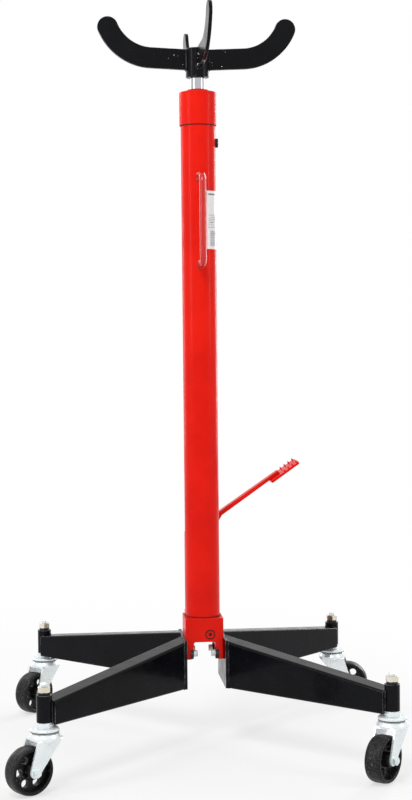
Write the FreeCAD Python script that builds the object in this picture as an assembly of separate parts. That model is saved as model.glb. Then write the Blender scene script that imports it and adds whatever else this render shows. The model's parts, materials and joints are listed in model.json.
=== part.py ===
"""Vertical hydraulic transmission jack on a four-leg caster base.

All sizes are in millimetres. The origin is on the floor under the column's axis.
+Z is up, -Y is the side with the carry handle, +X is the side with the foot pedal.
"""
import FreeCAD, Part
import math
import os

from FreeCAD import Placement, Rotation, Vector

# ------------------------------------------------------------------ driving dimensions
# Fits and clearances
RUNNING_FIT = 0.05          # radial clearance of a shaft that turns or slides in its bore
SEAT_GAP = 0.3              # gap between pieces of different bodies that rest on each other
SLIP_FIT = 0.25             # radial clearance of a bolt in a plain hole
SPIGOT_FIT = 0.05           # radial clearance of a turned spigot in its tube

# Casters
WHEEL_R = 38.0
TREAD_WIDTH = 28.0
WHEEL_HUB_WIDTH = 30.0
WHEEL_HUB_R = 11.5
WHEEL_WEB = 8.0             # thickness of the web between hub and rim
RIM_DEPTH = 6.5             # radial depth of the rim
WHEEL_HOLES = 6
WHEEL_HOLE_R = 6.6
MOULD_DRAFT = 1.0           # slope of the moulded faces
MOULD_EDGE = 1.5
TREAD_EDGE = 2.2            # rounded corner of the tread
TREAD_CROWN = 0.9           # fall of the tread towards its corners
AXLE_R = 4.0
BUSH_R = 6.0
CASTER_TRAIL = 30.0         # swivel axis to axle
FORK_SHEET = 3.0
FORK_SIDE_GAP = 1.0         # wheel's hub to the fork's inner side
FORK_TOP_LENGTH = 47.0
FORK_EYE_R = 9.0
FORK_BEND_R = 4.5
FORK_CROWN_GAP = 8.0        # wheel top to the underside of the fork's crown
DOME_LIP = 2.0              # dome's radius beyond the race's
DOME_HEIGHT = 8.0
DOME_SKIRT = 1.0            # upright edge of the dome above the crown
DOME_SHOULDER = 5.0         # flat top's radius short of the dome's edge
RACE_R = 23.5
RACE_HEIGHT = 4.5
RACE_EDGE = 1.8             # slope round the race's top
RACE_LIP = 3.0              # race's rim round its dish
DISH_DEPTH = 1.0
CAGE_MARGIN = 4.5           # cage's radius short of the race's
CAGE_HEIGHT = 1.2
KINGPIN_R = 6.0
KINGPIN_HEAD_R = 10.0
KINGPIN_HEAD_HEIGHT = 4.0
KINGPIN_HEX_AF = 24.0
KINGPIN_HEX_HEIGHT = 9.0
AXLE_HEAD_R = 7.5
AXLE_HEAD_HEIGHT = 4.0
AXLE_HEAD_EDGE_R = 1.8
AXLE_NUT_AF = 13.0
AXLE_NUT_HEIGHT = 6.5
AXLE_END = 2.0              # thread left beyond the axle's nut
THREAD_CHAMFER = 1.0
NUT_ROOM = 1.0              # room round a nut or a barrel in a cut
STEM_NUT_AF = 19.0
STEM_NUT_HEIGHT = 9.0
STEM_SPACER_R = 9.25
STEM_SPACER_HEIGHT = 4.2
STUD_END = 6.0              # thread left above a nut
CASTER_HEADINGS = {"front_left": 214.0, "front_right": 229.0,
                   "rear_left": 226.0, "rear_right": 347.0}

# Legs
STEM_SPACING = 555.0        # distance between neighbouring caster stems
STEM_TUBE_R = 12.5
STEM_TUBE_LENGTH = 43.0
LEG_WIDTH = 35.0
LEG_WALL = 3.0
LEG_EDGE_R = 4.0
LEG_INNER_HEIGHT = 83.0
LEG_OUTER_HEIGHT = 39.5
LEG_DROP = 5.0              # leg's underside below the stem tube's lower end
LEG_PLATE_THICKNESS = 5.0
PLATE_CORNER_R = 3.0
STUD_R = 6.0
STUD_HEIGHT = 55.0          # leg studs above the legs' underside
STUD_REACH = 12.0           # leg stud's inner end from the mid plane
LEG_NUT_AF = 18.0
LEG_NUT_HEIGHT = 6.0
STUD_MARGIN = 9.0           # stud's axis from the block's front or rear face

# Base housing and column
BLOCK_MARGIN = 3.0          # block's side beyond the column's surface
BLOCK_LIFT = 46.0           # prongs' lower ends above the legs' underside
BLOCK_HEIGHT = 71.0
BLOCK_EDGE_R = 2.5
ARCH_HEIGHT = 30.0
ARCH_CORNER_R = 4.0
PRONG_TOP = 14.0            # prong's thickness at the arch's top
PRONG_FOOT = 9.5            # prong's thickness at its lower end
NUT_SEAT_WALL = 8.0         # prong wall left behind a nut
BLOCK_SPIGOT = 28.0
CYLINDER_SOCKET = 8.0       # cylinder floor above the block's top face
COLUMN_R = 30.0
COLUMN_WALL = 3.0
COLUMN_LENGTH = 853.0
PISTON_LIP = 5.0            # piston's radius beyond the rod's
CYLINDER_WALL = 3.5
GALLERY_PLUG_R = 7.7
GALLERY_PLUG_X = 9.8
GALLERY_PLUG_DROP = 28.0    # plug's axis below the block's top face
GALLERY_BORE_DEPTH = 9.0
GALLERY_PLUG_SINK = 0.6     # plug's outer end behind the block's face
GALLERY_SOCKET_AF = 6.0
GALLERY_SOCKET_DEPTH = 5.0

# Ram
ROD_R = 12.5
PISTON_LENGTH = 60.0
RAM_RESERVE = 1.7           # piston to the gland at full travel
PISTON_SPIGOT_STEP = 3.5    # step in radius from the rod down to its lower spigot
SEAL_HEIGHT = 8.0
SEAL_DEPTH = 4.0
SEAL_DROP = 10.0            # seal's upper edge below the piston's top
TURNED_EDGE = 1.0           # chamfer on the turned pieces' edges
SPIGOT_EDGE = 1.5           # chamfer on the rod's upper end
SPIGOT_END_GAP = 2.0        # rod's end below the adapter socket's floor
ROD_STANDOUT = 19.6         # rod's shoulder above the gland
GLAND_LIP = 2.0             # collar's radius beyond the column's
GLAND_HEAD = 57.0
GLAND_SPIGOT = 19.0
GLAND_BOSS = 5.0
GLAND_BOSS_WALL = 2.5
GLAND_BOSS_FLARE = 4.0      # boss's foot beyond its top, in radius
GLAND_EDGE = 1.5
GUIDE_DROP = 12.0           # guide bush's top below the collar's top face
CYLINDER_ENTRY = 6.0        # cylinder tube's reach into the gland
GUIDE_WALL = 3.0
WIPER_HEIGHT = 9.0
WIPER_STEP = 1.0            # wiper's lip above its seat's edge
WIPER_LIP = 1.2
FILLER_R = 6.0
FILLER_HEAD_R = 8.0
FILLER_HEAD = 4.5
FILLER_EDGE_R = 1.2
FILLER_SLOT_WIDTH = 1.6
FILLER_SLOT_DEPTH = 1.5
FILLER_SHANK = 4.0          # shank's reach inwards from the column's surface
FILLER_DROP = 30.0          # filler plug's axis below the column's upper end

# Saddle
HUB_WALL = 10.0             # hub's wall round the rod's spigot
HUB_HEIGHT = 50.0
SPIGOT_STEP = 2.5           # step in radius from the rod up to its upper spigot
SOCKET_STEP = 2.7           # upper adapter socket's radius beyond the spigot's
SOCKET_DEPTH = 18.0
ARM_COUNT = 4
SADDLE_TURN = 2.2           # degrees the saddle stands turned at rest
ARM_HEIGHT = 35.5
ARM_THICKNESS = 6.0
ARM_DROP = 1.5              # arm's upper edge below the hub's top face
ARM_RISE = 2.6              # degrees
ARM_STRAIGHT = 61.0         # from the hub's surface to the start of the bend
HORN_R = 83.5               # radius of the horn's centre line
HORN_TURN = 65.0            # degrees

# Carry handle and label
HANDLE_BAR_R = 5.75
HANDLE_STANDOFF = 45.0      # bar's centre line from the column's surface
HANDLE_LENGTH = 150.5       # between the two standing ends' centre lines
HANDLE_BEND_R = 14.0
HANDLE_DROP = 241.0         # lower end's centre line below the column's upper end
LABEL_THICKNESS = 0.25
LABEL_HEIGHT = 100.0
LABEL_DROP = 214.0          # label's lower edge below the column's upper end
LABEL_START = -68.0         # degrees about +Z from +X
LABEL_SWEEP = 110.0

# Foot pump
PUMP_GAP = 22.0             # pump's axis from the column's surface
PUMP_BLOCK_LOW = 36.0       # pump block's height below the base block's top face
PUMP_BLOCK_LEFT = 26.0
PUMP_BLOCK_REAR = 20.0      # pump block's rear face behind the pump's axis
BARREL_R = 15.0
BARREL_HEIGHT = 68.0
BARREL_FLOOR = 6.0
PUMP_BLOCK_EDGE_R = 3.0
PLUNGER_R = 8.0
PLUNGER_TRAVEL_RESERVE = 4.0
GLAND_NUT_AF = 30.0
GLAND_NUT_HEIGHT = 15.0
SPRING_WIRE = 3.0
SPRING_MARGIN = 0.5         # spring's outer radius short of the collar's
FULCRUM_X = -14.0
FULCRUM_HEIGHT = 137.4      # above the base block's top face
FULCRUM_PIN_R = 5.0
LEVER_ARM = 32.0            # fulcrum to plunger pin
LEVER_ANGLE = 35.1          # lever's rise at rest, degrees
PEDAL_STROKE = 34.0         # degrees
SWING_RESERVE = 0.35        # degrees from the pedal's stop to level with the fulcrum's swing
LEVER_REACH = 228.7         # fulcrum to the pedal's tip
LEVER_HALF = 4.0            # half the lever's thickness at its root
LEVER_TIP = 5.5             # lever's thickness at its outer end
LEVER_BAR_WIDTH = 18.0
LEVER_CHEEK = 5.0
LEVER_FORK = 16.0           # link pin to the bar's start
LEVER_FORK_LAP = 14.0       # cheeks' overlap with the bar
CHEEK_END_R = 2.0
LEVER_CHEEK_GAP = 14.0      # between the lever's cheeks
LEVER_HUB_R = 10.0
LEVER_EAR_R = 8.0
LINK_PIN_R = 4.0
HEAD_SIDE_GAP = 0.5         # plunger head to a lever cheek
HEAD_LENGTH = 20.0
HEAD_EDGE_R = 3.0
SLOT_PLAY = 0.15            # pin's clearance above and below in the plunger's slot
SLOT_END_PLAY = 0.4
COLLAR_R = 12.5
COLLAR_HEIGHT = 4.0
COLLAR_DROP = 13.0          # collar's top below the link pin's axis
BRACKET_SHEET = 5.0
BRACKET_GAP = 0.5           # bracket's cheek to the lever's hub
BRACKET_EYE_R = 11.0
BRACKET_FOOT = 3.0          # bracket's foot beyond its eye
PIN_HEAD_STEP = 3.0         # fulcrum pin head's radius beyond the pin's
PIN_HEAD_HEIGHT = 2.5
PIN_END = 3.0               # fulcrum pin beyond the bracket's cheek
PEDAL_LENGTH = 60.0
PEDAL_WIDTH = 60.0
PEDAL_THICKNESS = 4.0
PEDAL_CORNER_R = 5.0
PEDAL_OVERLAP = 22.0        # lever's end lying on the pedal plate
TOOTH_ROWS = 4
TOOTH_COLUMNS = 2           # one along each side edge
TOOTH_SIZE = 3.6
VALVE_STEM_R = 4.0
VALVE_STEM_LENGTH = 22.0
VALVE_KNOB_R = 13.0
VALVE_KNOB_LENGTH = 15.0
VALVE_KNOB_GAP = 0.6        # knob to the pump block's rear face
VALVE_KNOB_EDGE_R = 1.5
VALVE_FLUTE_R = 2.2
VALVE_FLUTE_OUT = 1.0       # flute's centre beyond the knob's surface
VALVE_FLUTES = 10
VALVE_X = -8.0

# ------------------------------------------------------------------ levels and places
FORK_INSIDE = max(WHEEL_HUB_WIDTH, TREAD_WIDTH) / 2 + FORK_SIDE_GAP
FORK_OUTSIDE = FORK_INSIDE + FORK_SHEET
CROWN_UNDER = 2 * WHEEL_R + FORK_CROWN_GAP
CROWN_TOP = CROWN_UNDER + FORK_SHEET
DOME_TOP = CROWN_TOP + DOME_HEIGHT
RACE_UNDER = DOME_TOP + SEAT_GAP + CAGE_HEIGHT
RACE_TOP = RACE_UNDER + RACE_HEIGHT
STEM_LOW = RACE_TOP + KINGPIN_HEX_HEIGHT
STEM_HIGH = STEM_LOW + STEM_TUBE_LENGTH
STEM_NUT_LOW = STEM_HIGH + STEM_SPACER_HEIGHT
STEM_NUT_HIGH = STEM_NUT_LOW + STEM_NUT_HEIGHT
STEM_RADIUS = STEM_SPACING / math.sqrt(2)
DOME_R = RACE_R + DOME_LIP
CORNERS = {"front_left": (-1, -1), "front_right": (1, -1), "rear_left": (-1, 1), "rear_right": (1, 1)}

LEG_LOW = STEM_LOW - LEG_DROP
BLOCK_HALF = COLUMN_R + BLOCK_MARGIN
PLATE_OUT = BLOCK_HALF + LEG_PLATE_THICKNESS
PLATE_REACH = PLATE_OUT + LEG_WIDTH / math.sqrt(2)
BLOCK_LOW = LEG_LOW + BLOCK_LIFT
BLOCK_TOP = BLOCK_LOW + BLOCK_HEIGHT
STUD_Z = LEG_LOW + STUD_HEIGHT
STUD_Y = BLOCK_HALF - STUD_MARGIN
NUT_SEAT_X = BLOCK_HALF - NUT_SEAT_WALL

COLUMN_TOP = BLOCK_TOP + COLUMN_LENGTH
COLUMN_INNER_R = COLUMN_R - COLUMN_WALL
BORE_R = ROD_R + PISTON_LIP
CYLINDER_R = BORE_R + CYLINDER_WALL
PISTON_SPIGOT_R = ROD_R - PISTON_SPIGOT_STEP
GUIDE_R = ROD_R + GUIDE_WALL
GLAND_BOSS_R = GUIDE_R + GLAND_BOSS_WALL
GLAND_HEAD_R = COLUMN_R + GLAND_LIP
CYLINDER_FLOOR = BLOCK_TOP + CYLINDER_SOCKET
CYLINDER_TOP = COLUMN_TOP - GLAND_SPIGOT + CYLINDER_ENTRY
PISTON_LOW = CYLINDER_FLOOR + SEAT_GAP
PISTON_HIGH = PISTON_LOW + PISTON_LENGTH
GLAND_TOP = COLUMN_TOP + GLAND_HEAD
GUIDE_TOP = GLAND_TOP - GUIDE_DROP
BOSS_TOP = GLAND_TOP + GLAND_BOSS
WIPER_LOW = BOSS_TOP - WIPER_HEIGHT
SHOULDER = BOSS_TOP + ROD_STANDOUT
SEAL_HIGH = PISTON_HIGH - SEAL_DROP
SEAL_LOW = SEAL_HIGH - SEAL_HEIGHT
RAM_TRAVEL = CYLINDER_TOP - PISTON_HIGH - RAM_RESERVE

SPIGOT_R = ROD_R - SPIGOT_STEP
SOCKET_R = SPIGOT_R + SOCKET_STEP
HUB_R = SPIGOT_R + HUB_WALL
HUB_LOW = SHOULDER + SEAT_GAP
HUB_TOP = HUB_LOW + HUB_HEIGHT
SOCKET_FLOOR = HUB_TOP - SOCKET_DEPTH
ARM_MID = HUB_TOP - ARM_DROP - ARM_HEIGHT / 2
HANDLE_LOW = COLUMN_TOP - HANDLE_DROP
FILLER_Z = COLUMN_TOP - FILLER_DROP
GALLERY_PLUG_Z = BLOCK_TOP - GALLERY_PLUG_DROP
LABEL_LOW = COLUMN_TOP - LABEL_DROP

PUMP_Y = COLUMN_R + PUMP_GAP
PUMP_REAR = PUMP_Y + PUMP_BLOCK_REAR
FULCRUM_Z = BLOCK_TOP + FULCRUM_HEIGHT
PIN_SWING = math.radians(PEDAL_STROKE / 2 + SWING_RESERVE)
PIN_REST_X = FULCRUM_X + LEVER_ARM * math.cos(PIN_SWING)
PIN_REST_Z = FULCRUM_Z + LEVER_ARM * math.sin(PIN_SWING)
PIN_SHIFT = LEVER_ARM * (1 - math.cos(PIN_SWING)) / 2
PUMP_X = PIN_REST_X + PIN_SHIFT
PUMP_STROKE = 2 * LEVER_ARM * math.sin(PIN_SWING)
BARREL_TOP = BLOCK_TOP + BARREL_HEIGHT
SPRING_SEAT = BARREL_TOP + GLAND_NUT_HEIGHT
COLLAR_HIGH = PIN_REST_Z - COLLAR_DROP
COLLAR_LOW = COLLAR_HIGH - COLLAR_HEIGHT
LEVER_HALF_WIDTH = LEVER_CHEEK_GAP / 2 + LEVER_CHEEK
BRACKET_IN = LEVER_HALF_WIDTH + BRACKET_GAP
BRACKET_OUT = BRACKET_IN + BRACKET_SHEET
VALVE_Z = BLOCK_TOP - PUMP_BLOCK_LOW / 2

UP = Vector(0, 0, 1)
ALONG_X = Vector(1, 0, 0)
ALONG_Y = Vector(0, 1, 0)


# ------------------------------------------------------------------ shape helpers
def cylinder(radius, length, base, direction=UP):
    return Part.makeCylinder(radius, length, base, direction)


def ring(outer, inner, length, base, direction=UP):
    return cylinder(outer, length, base, direction).cut(cylinder(inner, length, base, direction))


def block(low, high):
    return Part.makeBox(high[0] - low[0], high[1] - low[1], high[2] - low[2], Vector(*low))


def turned(profile):
    """Solid of revolution about Z from (radius, z) points."""
    points = [Vector(r, 0, z) for r, z in profile]
    face = Part.Face(Part.makePolygon(points + points[:1]))
    return face.revolve(Vector(0, 0, 0), UP, 360)


def hexagon(across_flats, length, base, direction=UP):
    """Hexagonal prism that starts at base and runs along direction."""
    radius = across_flats / math.sqrt(3)
    corners = []
    for k in range(7):
        angle = math.radians(60 * k + 30)
        corners.append(Vector(radius * math.cos(angle), radius * math.sin(angle), 0))
    prism = Part.Face(Part.makePolygon(corners)).extrude(Vector(0, 0, length))
    prism.Placement = Placement(base, Rotation(UP, direction))
    return prism


def hex_nut(across_flats, bore_r, length, base, direction=UP):
    """Nut with its two faces' corners turned down, as a real one has."""
    corner_r = across_flats / math.sqrt(3)
    flat_r = across_flats / 2
    drop = (corner_r - flat_r) * 0.6
    turned_blank = turned([(bore_r, 0), (flat_r, 0), (corner_r, drop), (corner_r, length - drop),
                           (flat_r, length), (bore_r, length)])
    turned_blank.Placement = Placement(base, Rotation(UP, direction))
    return hexagon(across_flats, length, base, direction).common(turned_blank)


def belt(circles):
    """Face in the XZ plane: circles (x, z, r), counter-clockwise, joined by their outer tangents."""
    count = len(circles)
    normals = []
    for k in range(count):
        x1, z1, r1 = circles[k]
        x2, z2, r2 = circles[(k + 1) % count]
        gap = math.hypot(x2 - x1, z2 - z1)
        dx = (x2 - x1) / gap
        dz = (z2 - z1) / gap
        lean = (r1 - r2) / gap
        side = math.sqrt(1 - lean * lean)
        normals.append((dz * side + dx * lean, -dx * side + dz * lean))
    edges = []
    for k in range(count):
        x1, z1, r1 = circles[k]
        x2, z2, r2 = circles[(k + 1) % count]
        before = normals[k - 1]
        after = normals[k]
        if r1 > 0:
            start = math.atan2(before[1], before[0])
            end = math.atan2(after[1], after[0])
            while end < start:
                end += 2 * math.pi
            spots = []
            for angle in (start, (start + end) / 2, end):
                spots.append(Vector(x1 + r1 * math.cos(angle), 0, z1 + r1 * math.sin(angle)))
            edges.append(Part.Arc(*spots).toShape())
        leave = Vector(x1 + r1 * after[0], 0, z1 + r1 * after[1])
        reach = Vector(x2 + r2 * after[0], 0, z2 + r2 * after[1])
        edges.append(Part.LineSegment(leave, reach).toShape())
    return Part.Face(Part.Wire(edges))


def slab(face, low_y, high_y):
    """Extrudes a face of the XZ plane from low_y to high_y."""
    solid = face.extrude(Vector(0, high_y - low_y, 0))
    solid.translate(Vector(0, low_y, 0))
    return solid


def polygon(points):
    """Face in the XZ plane from (x, z) corners."""
    corners = [Vector(x, 0, z) for x, z in points]
    return Part.Face(Part.makePolygon(corners + corners[:1]))


def edges_where(shape, test):
    chosen = []
    for edge in shape.Edges:
        if test(edge):
            chosen.append(edge)
    return chosen


def stem_place(corner):
    sx, sy = CORNERS[corner]
    return Vector(sx * STEM_SPACING / 2, sy * STEM_SPACING / 2, 0)


def at_caster(shape, corner):
    """Moves a shape made with its trail along +X to its caster."""
    placed = shape.copy()
    placed.rotate(Vector(0, 0, 0), UP, CASTER_HEADINGS[corner])
    placed.translate(stem_place(corner))
    return placed


def at_all_stems(shape):
    copies = []
    for corner in CORNERS:
        copy = shape.copy()
        copy.translate(stem_place(corner))
        copies.append(copy)
    return Part.makeCompound(copies)


# ------------------------------------------------------------------ base housing
def base_housing():
    """Cast block with an arch through its foot and a turned spigot for the column."""
    body = block((-BLOCK_HALF, -BLOCK_HALF, BLOCK_LOW), (BLOCK_HALF, BLOCK_HALF, BLOCK_TOP))
    uprights = edges_where(body, lambda e: abs(e.Length - BLOCK_HEIGHT) < 0.01)
    body = body.makeFillet(BLOCK_EDGE_R, uprights)
    foot_x = BLOCK_HALF - PRONG_FOOT
    top_x = BLOCK_HALF - PRONG_TOP
    arch_top = BLOCK_LOW + ARCH_HEIGHT
    corner_x = top_x - ARCH_CORNER_R
    corner_z = arch_top - ARCH_CORNER_R
    arch = belt([(-foot_x, BLOCK_LOW - 1, 0), (foot_x, BLOCK_LOW - 1, 0),
                 (corner_x, corner_z, ARCH_CORNER_R), (-corner_x, corner_z, ARCH_CORNER_R)])
    body = body.cut(slab(arch, -BLOCK_HALF - 1, BLOCK_HALF + 1))
    spigot = cylinder(COLUMN_INNER_R - SPIGOT_FIT, BLOCK_SPIGOT, Vector(0, 0, BLOCK_TOP))
    body = body.fuse(spigot)
    socket_depth = BLOCK_SPIGOT - CYLINDER_SOCKET + 1
    body = body.cut(cylinder(CYLINDER_R + SPIGOT_FIT, socket_depth, Vector(0, 0, CYLINDER_FLOOR)))
    for sx in (-1, 1):
        for sy in (-1, 1):
            inner = Vector(sx * NUT_SEAT_X, sy * STUD_Y, STUD_Z)
            towards = Vector(-sx, 0, 0)
            spot_face_r = LEG_NUT_AF / math.sqrt(3) + NUT_ROOM
            body = body.cut(cylinder(spot_face_r, LEG_NUT_HEIGHT * 2, inner, towards))
            body = body.cut(cylinder(STUD_R + SLIP_FIT, BLOCK_HALF, inner, Vector(sx, 0, 0)))
    plug_bore = cylinder(GALLERY_PLUG_R + SEAT_GAP, GALLERY_BORE_DEPTH,
                         Vector(GALLERY_PLUG_X, -BLOCK_HALF, GALLERY_PLUG_Z), ALONG_Y)
    return body.cut(plug_bore).removeSplitter()


def gallery_plug():
    """Threaded plug with a hexagon socket, seated on the floor of its bore."""
    outer_end = Vector(GALLERY_PLUG_X, GALLERY_PLUG_SINK - BLOCK_HALF, GALLERY_PLUG_Z)
    plug = cylinder(GALLERY_PLUG_R, GALLERY_BORE_DEPTH - GALLERY_PLUG_SINK, outer_end, ALONG_Y)
    return plug.cut(hexagon(GALLERY_SOCKET_AF, GALLERY_SOCKET_DEPTH, outer_end, ALONG_Y))


def pump_block():
    """Valve block bolted to the rear of the base housing."""
    low = (-PUMP_BLOCK_LEFT, BLOCK_HALF, BLOCK_TOP - PUMP_BLOCK_LOW)
    high = (max(BLOCK_HALF, PUMP_X + BARREL_R), PUMP_REAR, BLOCK_TOP)
    body = block(low, high)
    rear = edges_where(body, lambda e: e.BoundBox.YMin > PUMP_REAR - 0.01 and e.BoundBox.ZLength > 1)
    body = body.makeFillet(PUMP_BLOCK_EDGE_R, rear)
    mouth = Vector(VALVE_X, PUMP_REAR - VALVE_STEM_LENGTH - 1, VALVE_Z)
    return body.cut(cylinder(VALVE_STEM_R + RUNNING_FIT, VALVE_STEM_LENGTH + 2, mouth, ALONG_Y))


def release_valve():
    """Fluted knob on a valve stem that screws into the pump block."""
    stem = cylinder(VALVE_STEM_R, VALVE_STEM_LENGTH + 1,
                    Vector(VALVE_X, PUMP_REAR - VALVE_STEM_LENGTH, VALVE_Z), ALONG_Y)
    knob_start = Vector(VALVE_X, PUMP_REAR + VALVE_KNOB_GAP, VALVE_Z)
    knob = cylinder(VALVE_KNOB_R, VALVE_KNOB_LENGTH, knob_start, ALONG_Y)
    outer_edge = edges_where(knob, lambda e: e.BoundBox.YMin > PUMP_REAR + VALVE_KNOB_LENGTH)
    knob = knob.makeFillet(VALVE_KNOB_EDGE_R, outer_edge)
    flute_circle = VALVE_KNOB_R + VALVE_FLUTE_OUT
    for k in range(VALVE_FLUTES):
        angle = 2 * math.pi * k / VALVE_FLUTES
        spot = knob_start + Vector(math.cos(angle), 0, math.sin(angle)) * flute_circle
        knob = knob.cut(cylinder(VALVE_FLUTE_R, VALVE_KNOB_LENGTH, spot, ALONG_Y))
    return stem.fuse(knob).removeSplitter()


# ------------------------------------------------------------------ column and cylinder
def column_tube():
    tube = ring(COLUMN_R, COLUMN_INNER_R, COLUMN_LENGTH, Vector(0, 0, BLOCK_TOP))
    return tube.cut(cylinder(FILLER_R, COLUMN_R + 5, Vector(0, 0, FILLER_Z), ALONG_X))


def cylinder_tube():
    length = CYLINDER_TOP - CYLINDER_FLOOR
    return ring(CYLINDER_R, BORE_R, length, Vector(0, 0, CYLINDER_FLOOR))


def top_gland():
    """Screwed collar that closes the column and carries the rod's guide bush and wiper."""
    low = COLUMN_TOP - GLAND_SPIGOT
    seat_top = BOSS_TOP - WIPER_STEP
    return turned([
        (CYLINDER_R + SPIGOT_FIT, low), (COLUMN_INNER_R - SPIGOT_FIT, low),
        (COLUMN_INNER_R - SPIGOT_FIT, COLUMN_TOP), (GLAND_HEAD_R, COLUMN_TOP),
        (GLAND_HEAD_R, GLAND_TOP - GLAND_EDGE), (GLAND_HEAD_R - GLAND_EDGE, GLAND_TOP),
        (GLAND_BOSS_R + GLAND_BOSS_FLARE, GLAND_TOP), (GLAND_BOSS_R, seat_top), (GUIDE_R, seat_top),
        (GUIDE_R, WIPER_LOW), (ROD_R + SEAT_GAP, WIPER_LOW),
        (ROD_R + SEAT_GAP, GUIDE_TOP), (GUIDE_R, GUIDE_TOP), (GUIDE_R, CYLINDER_TOP),
        (CYLINDER_R + SPIGOT_FIT, CYLINDER_TOP)])


def rod_guide_bush():
    return ring(GUIDE_R, ROD_R + RUNNING_FIT, GUIDE_TOP - CYLINDER_TOP, Vector(0, 0, CYLINDER_TOP))


def rod_wiper():
    inner = ROD_R + RUNNING_FIT
    return turned([(inner, WIPER_LOW), (GUIDE_R, WIPER_LOW), (GUIDE_R, BOSS_TOP - WIPER_STEP),
                   (inner + WIPER_LIP, BOSS_TOP), (inner, BOSS_TOP)])


def filler_plug():
    """Oil filler plug in the column's side, its head shaped to the tube."""
    head = cylinder(FILLER_HEAD_R, COLUMN_R + FILLER_HEAD, Vector(0, 0, FILLER_Z), ALONG_X)
    head = head.makeFillet(FILLER_EDGE_R, edges_where(head, lambda e: e.BoundBox.XMin > COLUMN_R))
    head = head.cut(cylinder(COLUMN_R, 4 * FILLER_HEAD_R, Vector(0, 0, FILLER_Z - 2 * FILLER_HEAD_R)))
    shank = cylinder(FILLER_R, COLUMN_R, Vector(0, 0, FILLER_Z), ALONG_X)
    inside = cylinder(COLUMN_R - FILLER_SHANK, 4 * FILLER_R, Vector(0, 0, FILLER_Z - 2 * FILLER_R))
    shank = shank.cut(inside)
    slot_half = FILLER_SLOT_WIDTH / 2
    slot = block((COLUMN_R + FILLER_HEAD - FILLER_SLOT_DEPTH, -FILLER_HEAD_R, FILLER_Z - slot_half),
                 (COLUMN_R + FILLER_HEAD + 1, FILLER_HEAD_R, FILLER_Z + slot_half))
    return head.fuse(shank).cut(slot).removeSplitter()


def carry_handle():
    """Bent round bar welded to the column's front."""
    out_y = -COLUMN_R - HANDLE_STANDOFF
    high = HANDLE_LOW + HANDLE_LENGTH
    bend = HANDLE_BEND_R
    nook = bend * (1 - math.sqrt(0.5))
    start_y = -COLUMN_R / 2
    edges = [
        Part.LineSegment(Vector(0, start_y, HANDLE_LOW), Vector(0, out_y + bend, HANDLE_LOW)).toShape(),
        Part.Arc(Vector(0, out_y + bend, HANDLE_LOW), Vector(0, out_y + nook, HANDLE_LOW + nook),
                 Vector(0, out_y, HANDLE_LOW + bend)).toShape(),
        Part.LineSegment(Vector(0, out_y, HANDLE_LOW + bend), Vector(0, out_y, high - bend)).toShape(),
        Part.Arc(Vector(0, out_y, high - bend), Vector(0, out_y + nook, high - nook),
                 Vector(0, out_y + bend, high)).toShape(),
        Part.LineSegment(Vector(0, out_y + bend, high), Vector(0, start_y, high)).toShape()]
    section = Part.Wire(Part.makeCircle(HANDLE_BAR_R, Vector(0, start_y, HANDLE_LOW), ALONG_Y))
    bar = Part.Wire(edges).makePipeShell([section], True, False)
    margin = 2 * HANDLE_BAR_R
    column = cylinder(COLUMN_R, HANDLE_LENGTH + 2 * margin, Vector(0, 0, HANDLE_LOW - margin))
    return bar.cut(column)


def product_label():
    """Thin printed sticker wrapped part of the way round the column."""
    sleeve = ring(COLUMN_R + LABEL_THICKNESS, COLUMN_R, LABEL_HEIGHT, Vector(0, 0, LABEL_LOW))
    wedge = Part.makeCylinder(COLUMN_R + 5, LABEL_HEIGHT, Vector(0, 0, LABEL_LOW), UP, LABEL_SWEEP)
    wedge.rotate(Vector(0, 0, 0), UP, LABEL_START)
    return sleeve.common(wedge)


# ------------------------------------------------------------------ legs
def leg_top_at(reach):
    """Height of a leg's upper edge at a distance from the column's axis."""
    root = PLATE_OUT * math.sqrt(2)
    fall = (LEG_INNER_HEIGHT - LEG_OUTER_HEIGHT) / (STEM_RADIUS - STEM_TUBE_R - root)
    return LEG_LOW + LEG_INNER_HEIGHT - fall * (reach - root)


def leg(corner):
    """Box-section leg, tapered in height, coped round its stem tube and cut square to its plate."""
    sx, sy = CORNERS[corner]
    near = PLATE_OUT * math.sqrt(2) - LEG_WIDTH
    far = STEM_RADIUS - STEM_TUBE_R / 2
    outside = polygon([(near, LEG_LOW), (far, LEG_LOW), (far, leg_top_at(far)), (near, leg_top_at(near))])
    shell = slab(outside, -LEG_WIDTH / 2, LEG_WIDTH / 2)
    long_edges = edges_where(shell, lambda e: e.Length > (far - near) * 0.99)
    shell = shell.makeFillet(LEG_EDGE_R, long_edges)
    inner_near = near - LEG_WIDTH
    inner_far = far - LEG_WALL
    hollow = slab(polygon([(inner_near, LEG_LOW + LEG_WALL), (inner_far, LEG_LOW + LEG_WALL),
                           (inner_far, leg_top_at(inner_far) - LEG_WALL),
                           (inner_near, leg_top_at(inner_near) - LEG_WALL)]),
                  LEG_WALL - LEG_WIDTH / 2, LEG_WIDTH / 2 - LEG_WALL)
    shell = shell.cut(hollow)
    shell = shell.cut(cylinder(STEM_TUBE_R, 4 * LEG_INNER_HEIGHT, Vector(STEM_RADIUS, 0, 0)))
    hex_room = KINGPIN_HEX_AF / math.sqrt(3) + NUT_ROOM
    shell = shell.cut(cylinder(hex_room, STEM_LOW, Vector(STEM_RADIUS, 0, 0)))
    shell.rotate(Vector(0, 0, 0), UP, math.degrees(math.atan2(sy, sx)))
    span = 2 * STEM_RADIUS
    low_x = -span if sx > 0 else -PLATE_OUT
    high_x = PLATE_OUT if sx > 0 else span
    return shell.cut(block((low_x, -span, 0), (high_x, span, span)))


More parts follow.
